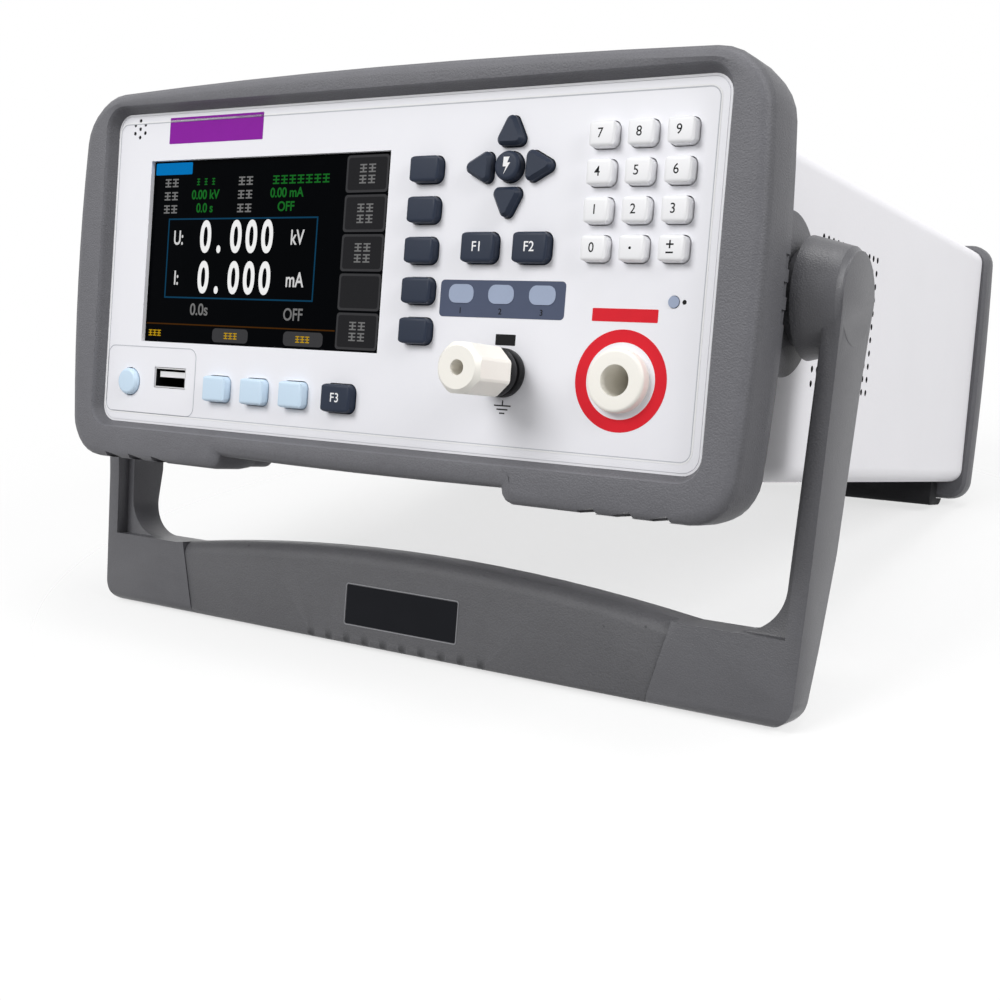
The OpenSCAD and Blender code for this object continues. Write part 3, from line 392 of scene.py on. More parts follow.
# %% [markdown]
# ## Metals, boards and glass
# Turned brass shows rings, nickel plate shows fine brushing, and the circuit boards carry a faint
# weave of copper under their lacquer. A noise squeezed along one axis gives the rings and the
# brushing without a texture. The display's cover is near black: it is a satin with hardly any
# reflection, because the white studio would otherwise wash its picture out.

# %% Metals, boards and glass
TRACKS_PER_METRE, TRACK_GAP = 160.0, 0.03
COPPER_GREEN = srgb(92, 130, 70)


def brushed(name, colour, roughness, stretch):
    finish = Finish(name, colour, roughness, Metallic=1.0)
    lines = finish.noise(0.25, 2.0, stretch)
    return finish.paint(finish.tone(lines, 0.85, 1.1), roughness - 0.08 + lines * 0.2, lines, 0.01)


def circuit_board(name, colour):
    finish = Finish(name, colour, 0.4)
    bricks = {"Vector": finish.place(), "Scale": TRACKS_PER_METRE, "Mortar Size": TRACK_GAP}
    tracks = finish.node("ShaderNodeTexBrick", {}, bricks, "Fac")
    grain = finish.noise(0.5)
    lacquer = finish.mix(tracks * 0.5, finish.tone(grain), COPPER_GREEN)
    return finish.paint(lacquer, 0.34 + grain * 0.12, tracks, 0.03)


BRASS = brushed("turned_brass", srgb(205, 172, 96), 0.3, (1, 6, 1))
PLATING = brushed("nickel_plate", srgb(202, 202, 204), 0.32, (0.2, 1, 1))
STEEL = brushed("zinc_sheet", srgb(186, 190, 194), 0.4, (0.1, 1, 1))
CORE = brushed("varnished_core", srgb(104, 82, 62), 0.5, (1, 8, 1))
BOARD = circuit_board("board_lacquer", srgb(28, 84, 56))
WINDOW = satin("window_hard_coat", srgb(3, 4, 6), 0.8, 0.2, 0.002, 0.2, Specular_IOR_Level=0.012)
DISPLAY = satin("display_glass", srgb(12, 13, 16), 0.8, 0.2, 0.002, 0.2, Specular_IOR_Level=0.1)
print("others:", ", ".join(m.name for m in (BRASS, PLATING, STEEL, CORE, BOARD, WINDOW, DISPLAY)))

# %% [markdown]
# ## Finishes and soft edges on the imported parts
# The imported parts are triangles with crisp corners, and no moulding has those. Changing the meshes
# is out of the question, so modifiers do it: Weld joins the loose triangles, Bevel rounds each
# corner by a fraction of a millimetre, and a small node group shades curved walls smooth. The
# terminal's cap has shallow flats, so its group keeps gentler edges sharp.


# %% Smooth shading by angle
def smooth_by_angle(limit):
    """A geometry node group that shades faces smooth and keeps edges steeper than a limit sharp."""
    group = bpy.data.node_groups.new("smooth_by_%d" % limit, "GeometryNodeTree")
    for way in ("INPUT", "OUTPUT"):
        group.interface.new_socket("Geometry", in_out=way, socket_type="NodeSocketGeometry")
    add = group.nodes.new
    start, end = add("NodeGroupInput"), add("NodeGroupOutput")
    faces, edges = add("GeometryNodeSetShadeSmooth"), add("GeometryNodeSetShadeSmooth")
    angle, steep = add("GeometryNodeInputMeshEdgeAngle"), add("FunctionNodeCompare")
    faces.domain = "FACE"
    edges.domain = "EDGE"
    steep.data_type = "FLOAT"
    steep.operation = "GREATER_THAN"
    steep.inputs["B"].default_value = math.radians(limit)
    edges.inputs["Shade Smooth"].default_value = False
    link = group.links.new
    link(start.outputs[0], faces.inputs["Geometry"])
    link(faces.outputs[0], edges.inputs["Geometry"])
    link(angle.outputs["Unsigned Angle"], steep.inputs["A"])
    link(steep.outputs[0], edges.inputs["Selection"])
    link(edges.outputs[0], end.inputs[0])
    return group


SMOOTHING = smooth_by_angle(32)
FLATS = smooth_by_angle(12)
print("node groups:", SMOOTHING.name, FLATS.name)

# %% Soft edges
WELD_GAP = 0.002
BEVEL_FROM = math.radians(40)
EDGE_RADIUS = {  # millimetres; parts that aren't named keep the edges that the source gives them
    "handle_frame": 0.9, "handle_grip": 0.5, "pivot_hubs": 0.6, "low_cap": 0.35, "low_collar": 0.3,
    "rear_feet": 0.6, "power_inlet": 0.4, "interface_port": 0.2}


def soften(part, radius, smoothing=SMOOTHING):
    """Weld, bevel and smooth a part; radius is in millimetres, and 0 leaves its corners crisp."""
    weld = part.modifiers.new("weld", "WELD")
    weld.merge_threshold = WELD_GAP * MM
    if radius:
        bevel = part.modifiers.new("soft_edges", "BEVEL")
        bevel.width = radius * MM
        bevel.segments = 2
        bevel.limit_method = "ANGLE"
        bevel.angle_limit = BEVEL_FROM
        bevel.use_clamp_overlap = True
        bevel.harden_normals = False
    smooth = part.modifiers.new("smooth", "NODES")
    smooth.node_group = smoothing


for name, part in nodes.items():
    soften(part, EDGE_RADIUS.get(name, 0), FLATS if name == "low_cap" else SMOOTHING)
print(len(EDGE_RADIUS), "parts bevelled,", len(nodes), "smoothed")

# %% Finishes on the parts
FINISH_OF_SLOT = {
    "white_key": WHITE_KEY, "navy_key": NAVY_KEY, "pale_key": PALE_KEY, "case_paint": CASE,
    "rear_paint": REAR, "sheet_steel": STEEL, "bumper": BUMPER, "foot_rubber": FOOT, "panel": PANEL,
    "overlay": FILM, "window": WINDOW, "display": DISPLAY, "silicone": SILICONE, "board": BOARD,
    "lens": LENS, "plating": PLATING, "black_plastic": BLACK, "insulator": IVORY, "brass": BRASS,
    "handle": HANDLE, "grip": GRIP, "core": CORE}
# Painted shade: the USB socket's inside gets the black plastic finish, and its bright rim is added below.
FINISH_OF_NODE = {"usb_port": BLACK}  # dark inside; its bright rim is added below
slot_of = {p["node"]: p["material_slot"] for p in frame["record"]["subparts"]}
for name, part in nodes.items():
    part.data.materials.clear()
    part.data.materials.append(FINISH_OF_NODE.get(name) or FINISH_OF_SLOT[slot_of[name]])
print("finishes set on", len(nodes), "parts")

# %% [markdown]
# ## Thin pieces
# Print and legends are a film a few hundredths of a millimetre thick. They could be painted by a
# material, but then they would have no edge and no place in the model. Each is a plate: a face
# with its corners bevelled, pushed back into what carries it. Rings are spun from their section,
# outlines are what an inset leaves, and digits come from Blender's own font.

# %% Pieces on bodies
INK = 0.05  # how far print stands out, in millimetres
SUNK = 0.03  # how far it reaches into what carries it
MERGE_GAP = 1e-5


def finished(name, mesh, body, material):
    """Leans an upright mesh, and hangs it on a body as a piece of the object."""
    mesh.transform(LEAN)
    mesh.materials.clear()
    mesh.materials.append(material)
    made = bpy.data.objects.new(name, mesh)
    scene.collection.objects.link(made)
    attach(made, body)
    return made


def from_bmesh(name, shape, body, material):
    """Closes a bmesh into a piece with outward faces."""
    bmesh.ops.remove_doubles(shape, verts=shape.verts, dist=MERGE_GAP)
    bmesh.ops.recalc_face_normals(shape, faces=shape.faces)
    mesh = bpy.data.meshes.new(name)
    shape.to_mesh(mesh)
    shape.free()
    return finished(name, mesh, body, material)


print("print stands", INK, "mm proud and", SUNK, "mm sunk")

# %% Plates, rings and outlines
CORNER_STEPS = 6
ROUND, SMALL_ROUND = 72, 24  # steps of a large and of a small ring


def thicken(shape, faces, depth):
    """Pushes flat faces back into the panel, which leaves a closed plate."""
    pushed = bmesh.ops.extrude_face_region(shape, geom=faces, use_keep_orig=True)
    moved = [g for g in pushed["geom"] if isinstance(g, bmesh.types.BMVert)]
    bmesh.ops.translate(shape, verts=moved, vec=(0, depth, 0))


def plate(shape, x, z, width, height, corner, front, depth=INK + SUNK):
    """Adds a plate with round corners whose face lies at y = front; depth 0 leaves a bare face."""
    ends = [(-1, -1), (1, -1), (1, 1), (-1, 1)]
    verts = [shape.verts.new((x + a * width / 2, front, z + b * height / 2)) for a, b in ends]
    faces = [shape.faces.new(verts)]
    if corner:
        rounded = bmesh.ops.bevel(shape, geom=verts, offset=corner, offset_type="OFFSET",
                                  segments=CORNER_STEPS, profile=0.5, affect="VERTICES", material=-1)
        faces = list({f for v in rounded["verts"] for f in v.link_faces})
    if depth:
        thicken(shape, faces, depth)


def ring(shape, x, z, outer, inner, front, depth=INK + SUNK, steps=ROUND):
    """Adds a flat ring by spinning its section round the middle."""
    section = [(outer, front), (outer, front + depth), (inner, front + depth), (inner, front)]
    verts = [shape.verts.new((x + r, y, z)) for r, y in section]
    edges = [shape.edges.new((verts[i], verts[(i + 1) % 4])) for i in range(4)]
    bmesh.ops.spin(shape, geom=verts + edges, cent=(x, 0, z), axis=(0, 1, 0), angle=2 * math.pi,
                   steps=steps, use_merge=True)


def border(shape, left, right, low, high, corner, width, front, depth=INK + SUNK):
    """Adds the outline of a plate with round corners, as a flat band of the given width."""
    before = set(shape.faces)
    plate(shape, (left + right) / 2, (low + high) / 2, right - left, high - low, corner, front, 0)
    flat = [f for f in shape.faces if f not in before]
    bmesh.ops.inset_region(shape, faces=flat, thickness=width, use_boundary=True, use_even_offset=True)
    bmesh.ops.delete(shape, geom=flat, context="FACES")
    thicken(shape, [f for f in shape.faces if f not in before], depth)


print("rings have", ROUND, "or", SMALL_ROUND, "steps")

# %% Legends
QUARTER_TURN = Matrix.Rotation(math.radians(90), 4, "X")


def legend(name, words, x, z, size, front, body, material, squeeze=1.0, weight=0.0):
    """A word or number as a thin plate that stands on a face at y = front."""
    depth = INK + SUNK
    curve = bpy.data.curves.new(name, "FONT")
    curve.body = words
    curve.align_x = "CENTER"
    curve.align_y = "CENTER"
    curve.size = size
    curve.extrude = depth / 2
    curve.offset = weight
    typed = bpy.data.objects.new(name, curve)
    scene.collection.objects.link(typed)
    mesh = bpy.data.meshes.new_from_object(typed.evaluated_get(bpy.context.evaluated_depsgraph_get()))
    bpy.data.objects.remove(typed)
    upright = Matrix.Translation((x, front + depth / 2, z)) @ QUARTER_TURN
    mesh.transform(upright @ Matrix.Diagonal((squeeze, 1, 1, 1)))
    return finished(name, mesh, body, material)


print("legends are", round(INK + SUNK, 2), "mm thick")

# %% [markdown]
# ## Inks
# Screen-printed ink is never quite even: it is a little thin here and there, and a touch rougher
# than the film. A flat colour would look pasted on, so one function gives every ink that
# unevenness from two noises.


# %% Inks
def ink(name, colour):
    finish = Finish(name, colour, 0.45, Specular_IOR_Level=0.12)
    speck = finish.noise(0.18, 3.0)
    cloud = finish.noise(4.0)
    return finish.paint(finish.tone(speck * 0.5 + cloud * 0.5, 0.9, 1.08), 0.4 + speck * 0.1)


RED_INK = ink("red_ink", srgb(222, 34, 48))
# The black ink also serves as painted shade in the small holes.
BLACK_INK_AND_SHADE = ink("black_ink_and_shade", srgb(18, 18, 20))
NAVY_INK = ink("navy_ink", srgb(80, 88, 110))
PURPLE_INK = ink("purple_ink", srgb(138, 24, 158))
# This grey is painted shade along the film's edges.
EDGE_SHADE_GREY = ink("edge_shade_grey", srgb(196, 198, 204))
# The white ink also serves as the painted highlight along the film's edges.
WHITE_INK_AND_HIGHLIGHT = ink("white_ink_and_highlight", srgb(248, 248, 250))
print("inks:", ", ".join(m.name for m in (RED_INK, BLACK_INK_AND_SHADE, NAVY_INK, PURPLE_INK, EDGE_SHADE_GREY, WHITE_INK_AND_HIGHLIGHT)))

# %% [markdown]
# ## Print on the panel
# A red ring marks the high-voltage socket, an earth sign marks the low terminal, a dark strip
# frames the three lamps, and plain blocks of colour fill out the rest. Fine grey lines of painted
# shade, each with a painted highlight beside it, show where the film and the small plate at the lower
# left end. Everything is placed from the part that it belongs to, so that print and part stay together.


# %% Places on the panel
def spot(node):
    """Lowest and highest corner of a part in upright millimetres."""
    sides = [reach(node, axis) for axis in (RIGHT, INWARD, UPWARD)]
    base = (0, panel_face, sleeve_middle)
    return [Vector([(side[end] - b) / MM for side, b in zip(sides, base)]) for end in (0, 1)]


def middle(node):
    """Middle of a part in upright millimetres."""
    low, high = spot(node)
    return (low + high) / 2


def ink_near(shape, at, across, up, width, height, corner=0):
    """Adds a plate of ink at an offset from a place."""
    plate(shape, at.x + across, at.z + up, width, height, corner, -INK)


panel_low, panel_high = spot("panel_overlay")
hv, low_post = middle("hv_socket"), middle("low_collar")
print("socket at", [round(v, 1) for v in hv], "terminal at", [round(v, 1) for v in low_post])

# %% Red and black print
HV_RING_OUT, HV_RING_IN = 12.9, 9.7
RED_BAR = (-0.2, 16.4, 18.5, 3.3, 0.25)  # across, up, width, height and corner
BLACK_BLOCK = (-0.4, 8.7, 6.2, 2.9, 0.2)
EARTH_X, EARTH_LINE = 0.2, 0.34
EARTH_BARS = ((-8.6, 5.2), (-9.6, 3.4), (-10.6, 1.6))  # up and width
EARTH_STEM_UP, EARTH_STEM = -7.9, 1.4

red = bmesh.new()
ring(red, hv.x, hv.z, HV_RING_OUT, HV_RING_IN, -INK)
ink_near(red, hv, *RED_BAR)
from_bmesh("red_print", red, "tester", RED_INK)

dark = bmesh.new()
ink_near(dark, low_post, *BLACK_BLOCK)
for up, width in EARTH_BARS:
    ink_near(dark, low_post, EARTH_X, up, width, EARTH_LINE)
ink_near(dark, low_post, EARTH_X, EARTH_STEM_UP, EARTH_LINE, EARTH_STEM)
from_bmesh("black_print", dark, "tester", BLACK_INK_AND_SHADE)
print("red and black print added")

# %% Lamp strip and plate
STRIP_SHIFT, STRIP_Z = -0.2, -1.1
STRIP_W, STRIP_H, STRIP_CORNER = 39.2, 9.9, 1.2
LAMP_PITCH, NUMBER_DROP, NUMBER_SIZE, NUMBER_WEIGHT = 12.72, 3.3, 2.2, 0.02
PLATE_AT, PLATE_SIZE, PLATE_CORNER = (-63.4, 48.3), (38.8, 8.0), 0.3

strip = bmesh.new()
strip_x = middle("centre_key").x + STRIP_SHIFT
plate(strip, strip_x, STRIP_Z, STRIP_W, STRIP_H, STRIP_CORNER, -INK)
from_bmesh("lamp_strip", strip, "tester", NAVY_INK)
for number in (1, 2, 3):
    legend("lamp_number_%d" % number, str(number), strip_x + (number - 2) * LAMP_PITCH,
           STRIP_Z - NUMBER_DROP, NUMBER_SIZE, -2 * INK, "tester", BLACK_INK_AND_SHADE,
           weight=NUMBER_WEIGHT)

badge = bmesh.new()
plate(badge, *PLATE_AT, *PLATE_SIZE, PLATE_CORNER, -INK)
from_bmesh("blank_plate", badge, "tester", PURPLE_INK)
print("lamp strip and plate added")

# %% Film lines
LINE_W, HIGHLIGHT_W = 0.3, 0.4
LINE_IN, LINE_LEFT, LINE_LOW, LINE_CORNER = 2.2, 0.1, 2.4, 3.0  # in from the film's edges
NOOK_RIGHT, NOOK_TOP = -65.4, -18.6

left, right = panel_low.x + LINE_LEFT, panel_high.x - LINE_IN
low, high = panel_low.z + LINE_LOW, panel_high.z - LINE_IN
# Painted shade: grey lines for the shaded side of the film's edges.
lines = bmesh.new()
border(lines, left, right, low, high, LINE_CORNER, LINE_W, -INK)
border(lines, left, NOOK_RIGHT, low, NOOK_TOP, LINE_CORNER, LINE_W, -INK)
from_bmesh("film_edge_shade", lines, "tester", EDGE_SHADE_GREY)
# Painted highlight: a white band for the lit side of the same edges.
lights = bmesh.new()
border(lights, left - HIGHLIGHT_W, right + HIGHLIGHT_W, low - HIGHLIGHT_W, high + HIGHLIGHT_W, LINE_CORNER + HIGHLIGHT_W,
       HIGHLIGHT_W, -INK)
from_bmesh("film_edge_highlight", lights, "tester", WHITE_INK_AND_HIGHLIGHT)
print("film lines added")

# %% [markdown]
# ## Small openings
# A hole a millimetre wide is black in daylight, since no light comes back out. The sounder's seven
# holes and the pinhole beside the round lamp get a disc of painted shade each, set a little way in,
# because the pale walls of so short a hole would send light back. The USB socket gets painted shade
# inside too, with a bright rim and a white tongue.

# %% Small holes
HOLE_R, HOLE_RING, HOLE_IN, HOLE_DEPTH = 0.58, 2.6, 0.15, 0.4
PIN = 0.01  # a ring this narrow inside is a disc
PINHOLE_ACROSS, PINHOLE_UP = 0.65, 20.0

sounder = middle("sounder")
centres = [(spot("indicator_lenses")[1].x + PINHOLE_ACROSS, hv.z + PINHOLE_UP), (sounder.x, sounder.z)]
for turn in (math.radians(a) for a in range(30, 360, 60)):
    centres.append((sounder.x + HOLE_RING * math.cos(turn), sounder.z + HOLE_RING * math.sin(turn)))
holes = bmesh.new()
for x, z in centres:
    ring(holes, x, z, HOLE_R, PIN, HOLE_IN, HOLE_DEPTH, SMALL_ROUND)
# The discs are painted shade.
from_bmesh("dark_holes", holes, "tester", BLACK_INK_AND_SHADE)
print(len(centres), "holes darkened")

# %% USB socket
USB_CORNER, USB_WALL, USB_PROUD, USB_DEPTH = 0.3, 0.38, 0.04, 0.3
TONGUE_UP, TONGUE_IN, TONGUE_W, TONGUE_H, TONGUE_CORNER = 1.1, 0.95, 11.0, 1.8, 0.1

usb_low, usb_high = spot("usb_port")
usb = (usb_low + usb_high) / 2
rim = bmesh.new()
border(rim, usb_low.x, usb_high.x, usb_low.z, usb_high.z, USB_CORNER, USB_WALL, usb_low.y - USB_PROUD,
       USB_DEPTH)
from_bmesh("usb_rim", rim, "tester", PLATING)
tongue = bmesh.new()
plate(tongue, usb.x, usb.z + TONGUE_UP, TONGUE_W, TONGUE_H, TONGUE_CORNER, usb_low.y + TONGUE_IN, USB_DEPTH)
from_bmesh("usb_tongue", tongue, "tester", WHITE_KEY)
print("socket rim and tongue added")

# %% [markdown]
# ## Key legends
# Number keys carry plain digits, and the function keys carry F1 to F3. They could all hang on the
# panel, but then a key would go in and leave its digit behind, so each rides on its own key. The
# point, the sign and the flash on the centre key are drawn from plates and a short outline.

# %% Number legends
LEGEND_UP = 0.02
DIGIT_SIZE, DIGIT_SHIFT, FUNCTION_SIZE = 3.5, -0.35, 3.7
DIGIT_SQUEEZE, DIGIT_WEIGHT = 0.95, 0.006


def key_face(key):
    """Middle of a key's face in upright millimetres, where a legend stands."""
    low, high = spot(key)
    return Vector(((low.x + high.x) / 2, low.y - LEGEND_UP, (low.z + high.z) / 2))


def key_legend(key, words, size, shift, material):
    at = key_face(key)
    legend("legend_" + key, words, at.x + shift, at.z, size, at.y, key, material, DIGIT_SQUEEZE,
           DIGIT_WEIGHT * size)


for number in range(10):
    key_legend("key_%d" % number, str(number), DIGIT_SIZE, DIGIT_SHIFT, BLACK_INK_AND_SHADE)
for number, key in enumerate(("function_key_1", "function_key_2", "system_key"), 1):
    key_legend(key, "F%d" % number, FUNCTION_SIZE, 0.0, WHITE_INK_AND_HIGHLIGHT)
print("ten digits and three function legends added")

# %% Drawn legends
SIGN_SHIFT, DOT_R = -0.3, 0.36
PLUS_UP, MINUS_UP, STROKE, STROKE_W, OVERLAP = 0.9, -1.1, 2.0, 0.4, 0.01
FLASH = [(-0.9, 2.2), (0.9, 2.2), (0.3, 0.7), (1.2, 0.7), (-0.7, -2.3), (0.0, -0.3), (-1.0, -0.3)]

dot = bmesh.new()
at = key_face("key_point")
ring(dot, at.x + SIGN_SHIFT, at.z, DOT_R, PIN, at.y, steps=SMALL_ROUND)
from_bmesh("legend_key_point", dot, "key_point", BLACK_INK_AND_SHADE)

sign = bmesh.new()
at = key_face("key_sign")
plate(sign, at.x + SIGN_SHIFT, at.z + PLUS_UP, STROKE, STROKE_W, 0, at.y)
plate(sign, at.x + SIGN_SHIFT, at.z + PLUS_UP, STROKE_W, STROKE, 0, at.y - OVERLAP)
plate(sign, at.x + SIGN_SHIFT, at.z + MINUS_UP, STROKE, STROKE_W, 0, at.y)
from_bmesh("legend_key_sign", sign, "key_sign", BLACK_INK_AND_SHADE)

flash = bmesh.new()
at = key_face("centre_key")
face = flash.faces.new([flash.verts.new((at.x + x, at.y, at.z + z)) for x, z in FLASH])
thicken(flash, [face], INK + SUNK)
from_bmesh("legend_centre_key", flash, "centre_key", WHITE_INK_AND_HIGHLIGHT)
print("point, sign and flash added")

# %% [markdown]
# ## The picture on the display
# The display is lit from behind, so its marks glow rather than reflect. A picture file would do it
# in one step, but it couldn't be changed here. Each group of marks is a thin plate on the cover,
# with an emission as bright as its colour, placed by shares of the picture's width and height.


# %% Glowing marks
def glow(name, colour):
    finish = Finish(name, (0.0, 0.0, 0.0), 0.25, Emission_Strength=1.0, Specular_IOR_Level=0.012)
    dim = tuple(c * 0.8 for c in colour)
    return finish.paint(emission=finish.mix(finish.cells(0.25), colour, dim))


GLOW_WHITE = glow("glow_white", srgb(250, 250, 250))
GLOW_PALE = glow("glow_pale", srgb(215, 215, 215))
GLOW_GREY = glow("glow_grey", srgb(120, 120, 120))
GLOW_TAB = glow("glow_tab", srgb(62, 62, 64))
GLOW_TAB_FACE = glow("glow_tab_face", srgb(40, 40, 42))
GLOW_GREEN = glow("glow_green", srgb(24, 104, 36))
GLOW_BLUE = glow("glow_blue", srgb(0, 118, 190))
GLOW_LINE = glow("glow_line", srgb(14, 62, 90))
GLOW_AMBER = glow("glow_amber", srgb(190, 150, 20))
GLOW_RULE = glow("glow_rule", srgb(70, 40, 8))
print("glows from", GLOW_TAB_FACE.name, "to", GLOW_WHITE.name)

# %% Places on the display
RIM = 2.0
screen_low, screen_high = spot("display_window")
glass = screen_low.y
screen_left, screen_top = screen_low.x + RIM, screen_high.z - RIM
screen_w = screen_high.x - screen_low.x - 2 * RIM
screen_h = screen_high.z - screen_low.z - 2 * RIM


def marks(name, material, spots, corner=0.0, lift=INK):
    """Plates given as left, right, top and bottom shares of the picture."""
    shape = bmesh.new()
    for left, right, top, bottom in spots:
        plate(shape, screen_left + (left + right) / 2 * screen_w, screen_top - (top + bottom) / 2 * screen_h,
              (right - left) * screen_w, (bottom - top) * screen_h, corner, glass - lift)
    return from_bmesh(name, shape, "tester", material)


def strokes(left, top, wide, high, count, gap=0.3):
    """Bars that stand for signs in small type: three across and one down for each sign."""
    bars = []
    for start in (left + i * wide * (1 + gap) for i in range(count)):
        bars += [(start, start + wide, top + high * at, top + high * (at + 0.16)) for at in (0, 0.42, 0.84)]
        bars.append((start + wide * 0.4, start + wide * 0.6, top, top + high))
    return bars


print("picture", round(screen_w, 1), "by", round(screen_h, 1), "mm")

# %% Tabs and small type
TAB_LEFT, TAB_RIGHT, TAB_H = 0.825, 0.985, 0.186
TAB_INSET, TAB_EDGE = 0.007, 0.012
TAB_TOPS = [0.012 + i * 0.1975 for i in range(5)]
NAMED_TABS = TAB_TOPS[:3] + TAB_TOPS[4:]
TYPE_W, TYPE_H, TAB_TYPE_H = 0.026, 0.045, 0.042
NAME_LEFTS, TAB_NAME_LEFT, TAB_NAME_DOWN = (0.055, 0.385), 0.876, (0.045, 0.1)
ROW_TOP, ROW_PITCH = 0.098, 0.072

marks("screen_tabs", GLOW_TAB, [(TAB_LEFT, TAB_RIGHT, top, top + TAB_H) for top in TAB_TOPS], 1.0)
faces = [(TAB_LEFT + TAB_INSET, TAB_RIGHT - TAB_INSET, top + TAB_EDGE, top + TAB_H - TAB_EDGE)
         for top in TAB_TOPS]
marks("screen_tab_faces", GLOW_TAB_FACE, faces, 0.8, 1.4 * INK)
marks("screen_title", GLOW_BLUE, [(0.008, 0.175, 0.01, 0.075)], 0.4)
names = [bar for left in NAME_LEFTS for row in range(3)
         for bar in strokes(left, ROW_TOP + row * ROW_PITCH, TYPE_W, TYPE_H, 2)]
names += [bar for top in NAMED_TABS for down in TAB_NAME_DOWN
          for bar in strokes(TAB_NAME_LEFT, top + down, TYPE_W, TAB_TYPE_H, 2)]
marks("screen_names", GLOW_GREY, names, lift=2 * INK)
values = strokes(0.53, ROW_TOP, TYPE_W, TYPE_H, 7) + strokes(0.2, 0.1, 0.012, 0.036, 3, 1.8)
marks("screen_values", GLOW_GREEN, values)
print(len(TAB_TOPS), "tabs and", len(names) + len(values), "bars of small type added")

# %% Foot of the picture and its frame
BUTTON_TOP, BUTTON_LOW = 0.91, 0.985
BUTTONS = ((0.31, 0.465), (0.615, 0.775))
AMBER_LEFTS, AMBER_TOP, AMBER_W, AMBER_H, AMBER_GAP = (0.018, 0.362, 0.666), 0.932, 0.016, 0.034, 0.25
BOX_LEFT, BOX_RIGHT, BOX_TOP, BOX_LOW, BOX_END = 0.08, 0.725, 0.315, 0.745, 0.75
LINE = 0.008
SIDE_LINE = LINE * 0.6

marks("screen_buttons", GLOW_TAB, [(left, right, BUTTON_TOP, BUTTON_LOW) for left, right in BUTTONS], 1.4)
amber = [bar for left in AMBER_LEFTS for bar in strokes(left, AMBER_TOP, AMBER_W, AMBER_H, 3, AMBER_GAP)]
marks("screen_amber", GLOW_AMBER, amber, lift=2 * INK)
marks("screen_frame", GLOW_LINE, [
    (BOX_LEFT, BOX_RIGHT, BOX_TOP, BOX_TOP + LINE), (BOX_LEFT, BOX_RIGHT, BOX_LOW, BOX_LOW + LINE),
    (BOX_LEFT, BOX_LEFT + SIDE_LINE, BOX_TOP, BOX_END), (BOX_RIGHT - SIDE_LINE, BOX_RIGHT, BOX_TOP, BOX_END)])
marks("screen_rule", GLOW_RULE, [(0.005, 0.82, 0.893, 0.9)])
print("buttons, frame and rule added")

# %% Readings
DIGIT_LEFT, DIGIT_PITCH, DIGIT_H = 0.253, 0.0668, 0.235
DIGITS = tuple(zip("0.000", (0.0, 0.9, 2.0, 3.0, 4.0)))  # each with its place in pitches
SETTING_TOP, SETTING_H = 0.19, 0.07
READINGS = (("U:", "kV", 0.425, "0.00 kV", "0.00 mA"), ("I:", "mA", 0.645, "0.0 s", "OFF"))


def screen_words(name, words, across, down, height, squeeze, material, weight=0.012):
    """A word on the display, placed and sized by shares of the picture."""
    size = height * screen_h
    legend(name, words, screen_left + across * screen_w, screen_top - down * screen_h, size,
           glass - INK, "tester", material, squeeze, weight * size)


for row, (sign_word, unit, down, setting, limit) in enumerate(READINGS):
    for digit, pitches in DIGITS:
        screen_words("screen_reading_%d_%d" % (row, round(pitches)), digit,
                     DIGIT_LEFT + DIGIT_PITCH * pitches, down, DIGIT_H, 0.7, GLOW_WHITE, 0.028)
    screen_words("screen_sign_%d" % row, sign_word, 0.13, down, 0.11, 0.75, GLOW_PALE)
    screen_words("screen_unit_%d" % row, unit, 0.645, down, 0.11, 0.78, GLOW_PALE)
    row_down = SETTING_TOP + row * ROW_PITCH
    screen_words("screen_setting_%d" % row, setting, 0.24, row_down, SETTING_H, 0.95, GLOW_GREEN, 0.02)
    screen_words("screen_limit_%d" % row, limit, 0.59, row_down, SETTING_H, 0.95, GLOW_GREEN, 0.02)
screen_words("screen_time", "0.0s", 0.243, 0.815, 0.09, 0.95, GLOW_GREY)
screen_words("screen_state", "OFF", 0.648, 0.825, 0.09, 0.85, GLOW_GREY)
print("readings added")

# %% [markdown]
# ## Plate on the grip
# A dark plate is let into the middle of the handle's grip, inside a low moulded rim. A patch of dark
# colour would have no edge to catch the light, so it is a slab with rounded corners, and its rim is
# an outline of its own, rounded by a bevel and a little paler: a painted highlight.

# %% Grip plate
GRIP_PLATE_W, GRIP_PLATE_H, GRIP_PLATE_CORNER = 41.0, 12.0, 0.5
GRIP_PLATE_X, GRIP_PLATE_UP, GRIP_PLATE_PROUD, GRIP_PLATE_DEPTH = 1.4, 12.6, 0.1, 0.4
RIM_GAP, RIM_CORNER, RIM_W, RIM_PROUD, RIM_DEPTH, RIM_ROUND = 0.5, 0.9, 0.32, 0.2, 0.5, 0.12
PLATE_SKIN = satin("grip_plate_skin", srgb(26, 27, 31), 0.3, 0.4, 0.01, 0.2, Specular_IOR_Level=0.06)
RIM_HIGHLIGHT = satin("plate_rim_highlight", srgb(138, 138, 142), 0.3, 0.4, 0.01, 0.1)

grip_low = spot("handle_grip")[0]
plate_z = grip_low.z + GRIP_PLATE_UP
grip_plate = bmesh.new()
plate(grip_plate, GRIP_PLATE_X, plate_z, GRIP_PLATE_W, GRIP_PLATE_H, GRIP_PLATE_CORNER,
      grip_low.y - GRIP_PLATE_PROUD, GRIP_PLATE_DEPTH)
from_bmesh("grip_plate", grip_plate, "handle", PLATE_SKIN)
half_w, half_h = GRIP_PLATE_W / 2 + RIM_GAP, GRIP_PLATE_H / 2 + RIM_GAP
rim = bmesh.new()
border(rim, GRIP_PLATE_X - half_w, GRIP_PLATE_X + half_w, plate_z - half_h, plate_z + half_h, RIM_CORNER,
       RIM_W, grip_low.y - RIM_PROUD, RIM_DEPTH)
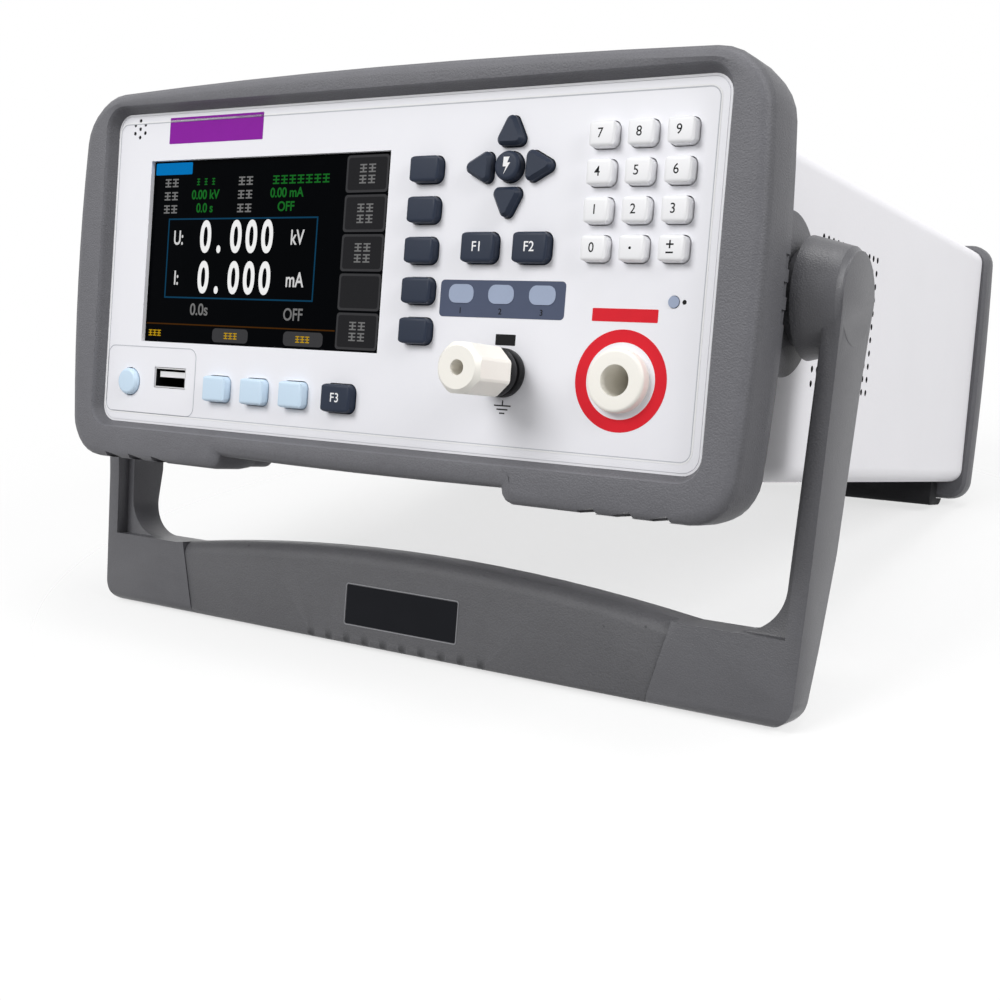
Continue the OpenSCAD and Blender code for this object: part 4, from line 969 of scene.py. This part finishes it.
# Painted highlight: the rim is paler than the grip around it.
soften(from_bmesh("grip_plate_rim", rim, "handle", RIM_HIGHLIGHT), RIM_ROUND)
print("grip plate", GRIP_PLATE_W, "by", GRIP_PLATE_H, "mm")

# %% [markdown]
# ## Heels of the front feet
# Each front foot runs on a little way under the case, behind the bumper. On the real piece the heel
# is moulded in one with it. Here it is a block with every edge rounded by a bevel, sunk into the
# bumper's back, so that the two read as one.

# %% Foot heels
HEEL_INNER, HEEL_OUTER, HEEL_BACK = 51.0, 94.0, 8.0
HEEL_SUNK, HEEL_LIFT, HEEL_GAP, HEEL_ROUND = 4.0, 0.8, 0.3, 2.6


def block(shape, low, high, radius):
    """Adds a box between two corners, with all its edges rounded."""
    size = Vector(high) - Vector(low)
    place = Matrix.Translation((Vector(low) + Vector(high)) / 2) @ Matrix.Diagonal((*size, 1))
    made = bmesh.ops.create_cube(shape, size=1.0, matrix=place)
    edges = list(dict.fromkeys(e for v in made["verts"] for e in v.link_edges))
    bmesh.ops.bevel(shape, geom=edges, offset=radius, offset_type="OFFSET", segments=4, profile=0.5,
                    affect="EDGES", material=-1)


bumper_low, bumper_high = spot("front_bumper")
heel_low, heel_high = bumper_low.z + HEEL_LIFT, spot("case_sleeve")[0].z - HEEL_GAP
for side, name in ((-1, "left"), (1, "right")):
    near, far = sorted((side * HEEL_INNER, side * HEEL_OUTER))
    heel = bmesh.new()
    block(heel, (near, bumper_high.y - HEEL_SUNK, heel_low), (far, bumper_high.y + HEEL_BACK, heel_high),
          HEEL_ROUND)
    soften(from_bmesh("foot_heel_" + name, heel, "tester", BUMPER), 0)
print("heels run", HEEL_BACK, "mm back from the bumper")

# %% [markdown]
# ## Floor and background
# The studio's floor is a pale sweep that keeps a soft shadow under the handle and the feet. A solid
# floor would show its far edge, so this one is see-through and fades out round the tester. Beyond
# it the world is white to the camera and in reflections, and a quieter white as a light.

# %% Floor
FLOOR_R = 3.0
FADE_FROM, FADE_TO, FLOOR_SOLID = 0.1, 0.42, 0.32

floor_shape = bmesh.new()
bmesh.ops.create_circle(floor_shape, cap_ends=True, segments=3, radius=FLOOR_R)
floor_mesh = bpy.data.meshes.new("floor")
floor_shape.to_mesh(floor_mesh)
floor_shape.free()
sweep = Finish("floor_white", (0.96, 0.96, 0.96), 0.9, Specular_IOR_Level=0.0)
far_off = sweep.node("ShaderNodeVectorMath", {"operation": "LENGTH"}, {0: sweep.place()}, "Value")
sweep.feed(sweep.shader.inputs["Alpha"], sweep.fade(far_off, FADE_FROM, FADE_TO, FLOOR_SOLID))
floor_mesh.materials.append(sweep.material)
floor = bpy.data.objects.new("floor", floor_mesh)
scene.collection.objects.link(floor)
print("floor fades out", FADE_TO, "m from the middle")

# %% Background
AMBIENT = 0.29

world = bpy.data.worlds.new("studio")
scene.world = world
world.use_nodes = True
wires = world.node_tree
back = wires.nodes["Background"]
back.inputs["Color"].default_value = (1, 1, 1, 1)
rays = wires.nodes.new("ShaderNodeLightPath")
strength = rays.outputs["Is Camera Ray"]
for kind in ("Is Glossy Ray", "Is Transmission Ray"):
    both = wires.nodes.new("ShaderNodeMath")
    both.operation = "MAXIMUM"
    wires.links.new(strength, both.inputs[0])
    wires.links.new(rays.outputs[kind], both.inputs[1])
    strength = both.outputs[0]
level = wires.nodes.new("ShaderNodeMath")
level.operation = "MULTIPLY_ADD"
level.inputs[1].default_value = 1 - AMBIENT
level.inputs[2].default_value = AMBIENT
wires.links.new(strength, level.inputs[0])
wires.links.new(level.outputs[0], back.inputs["Strength"])
print("background lights at", AMBIENT)
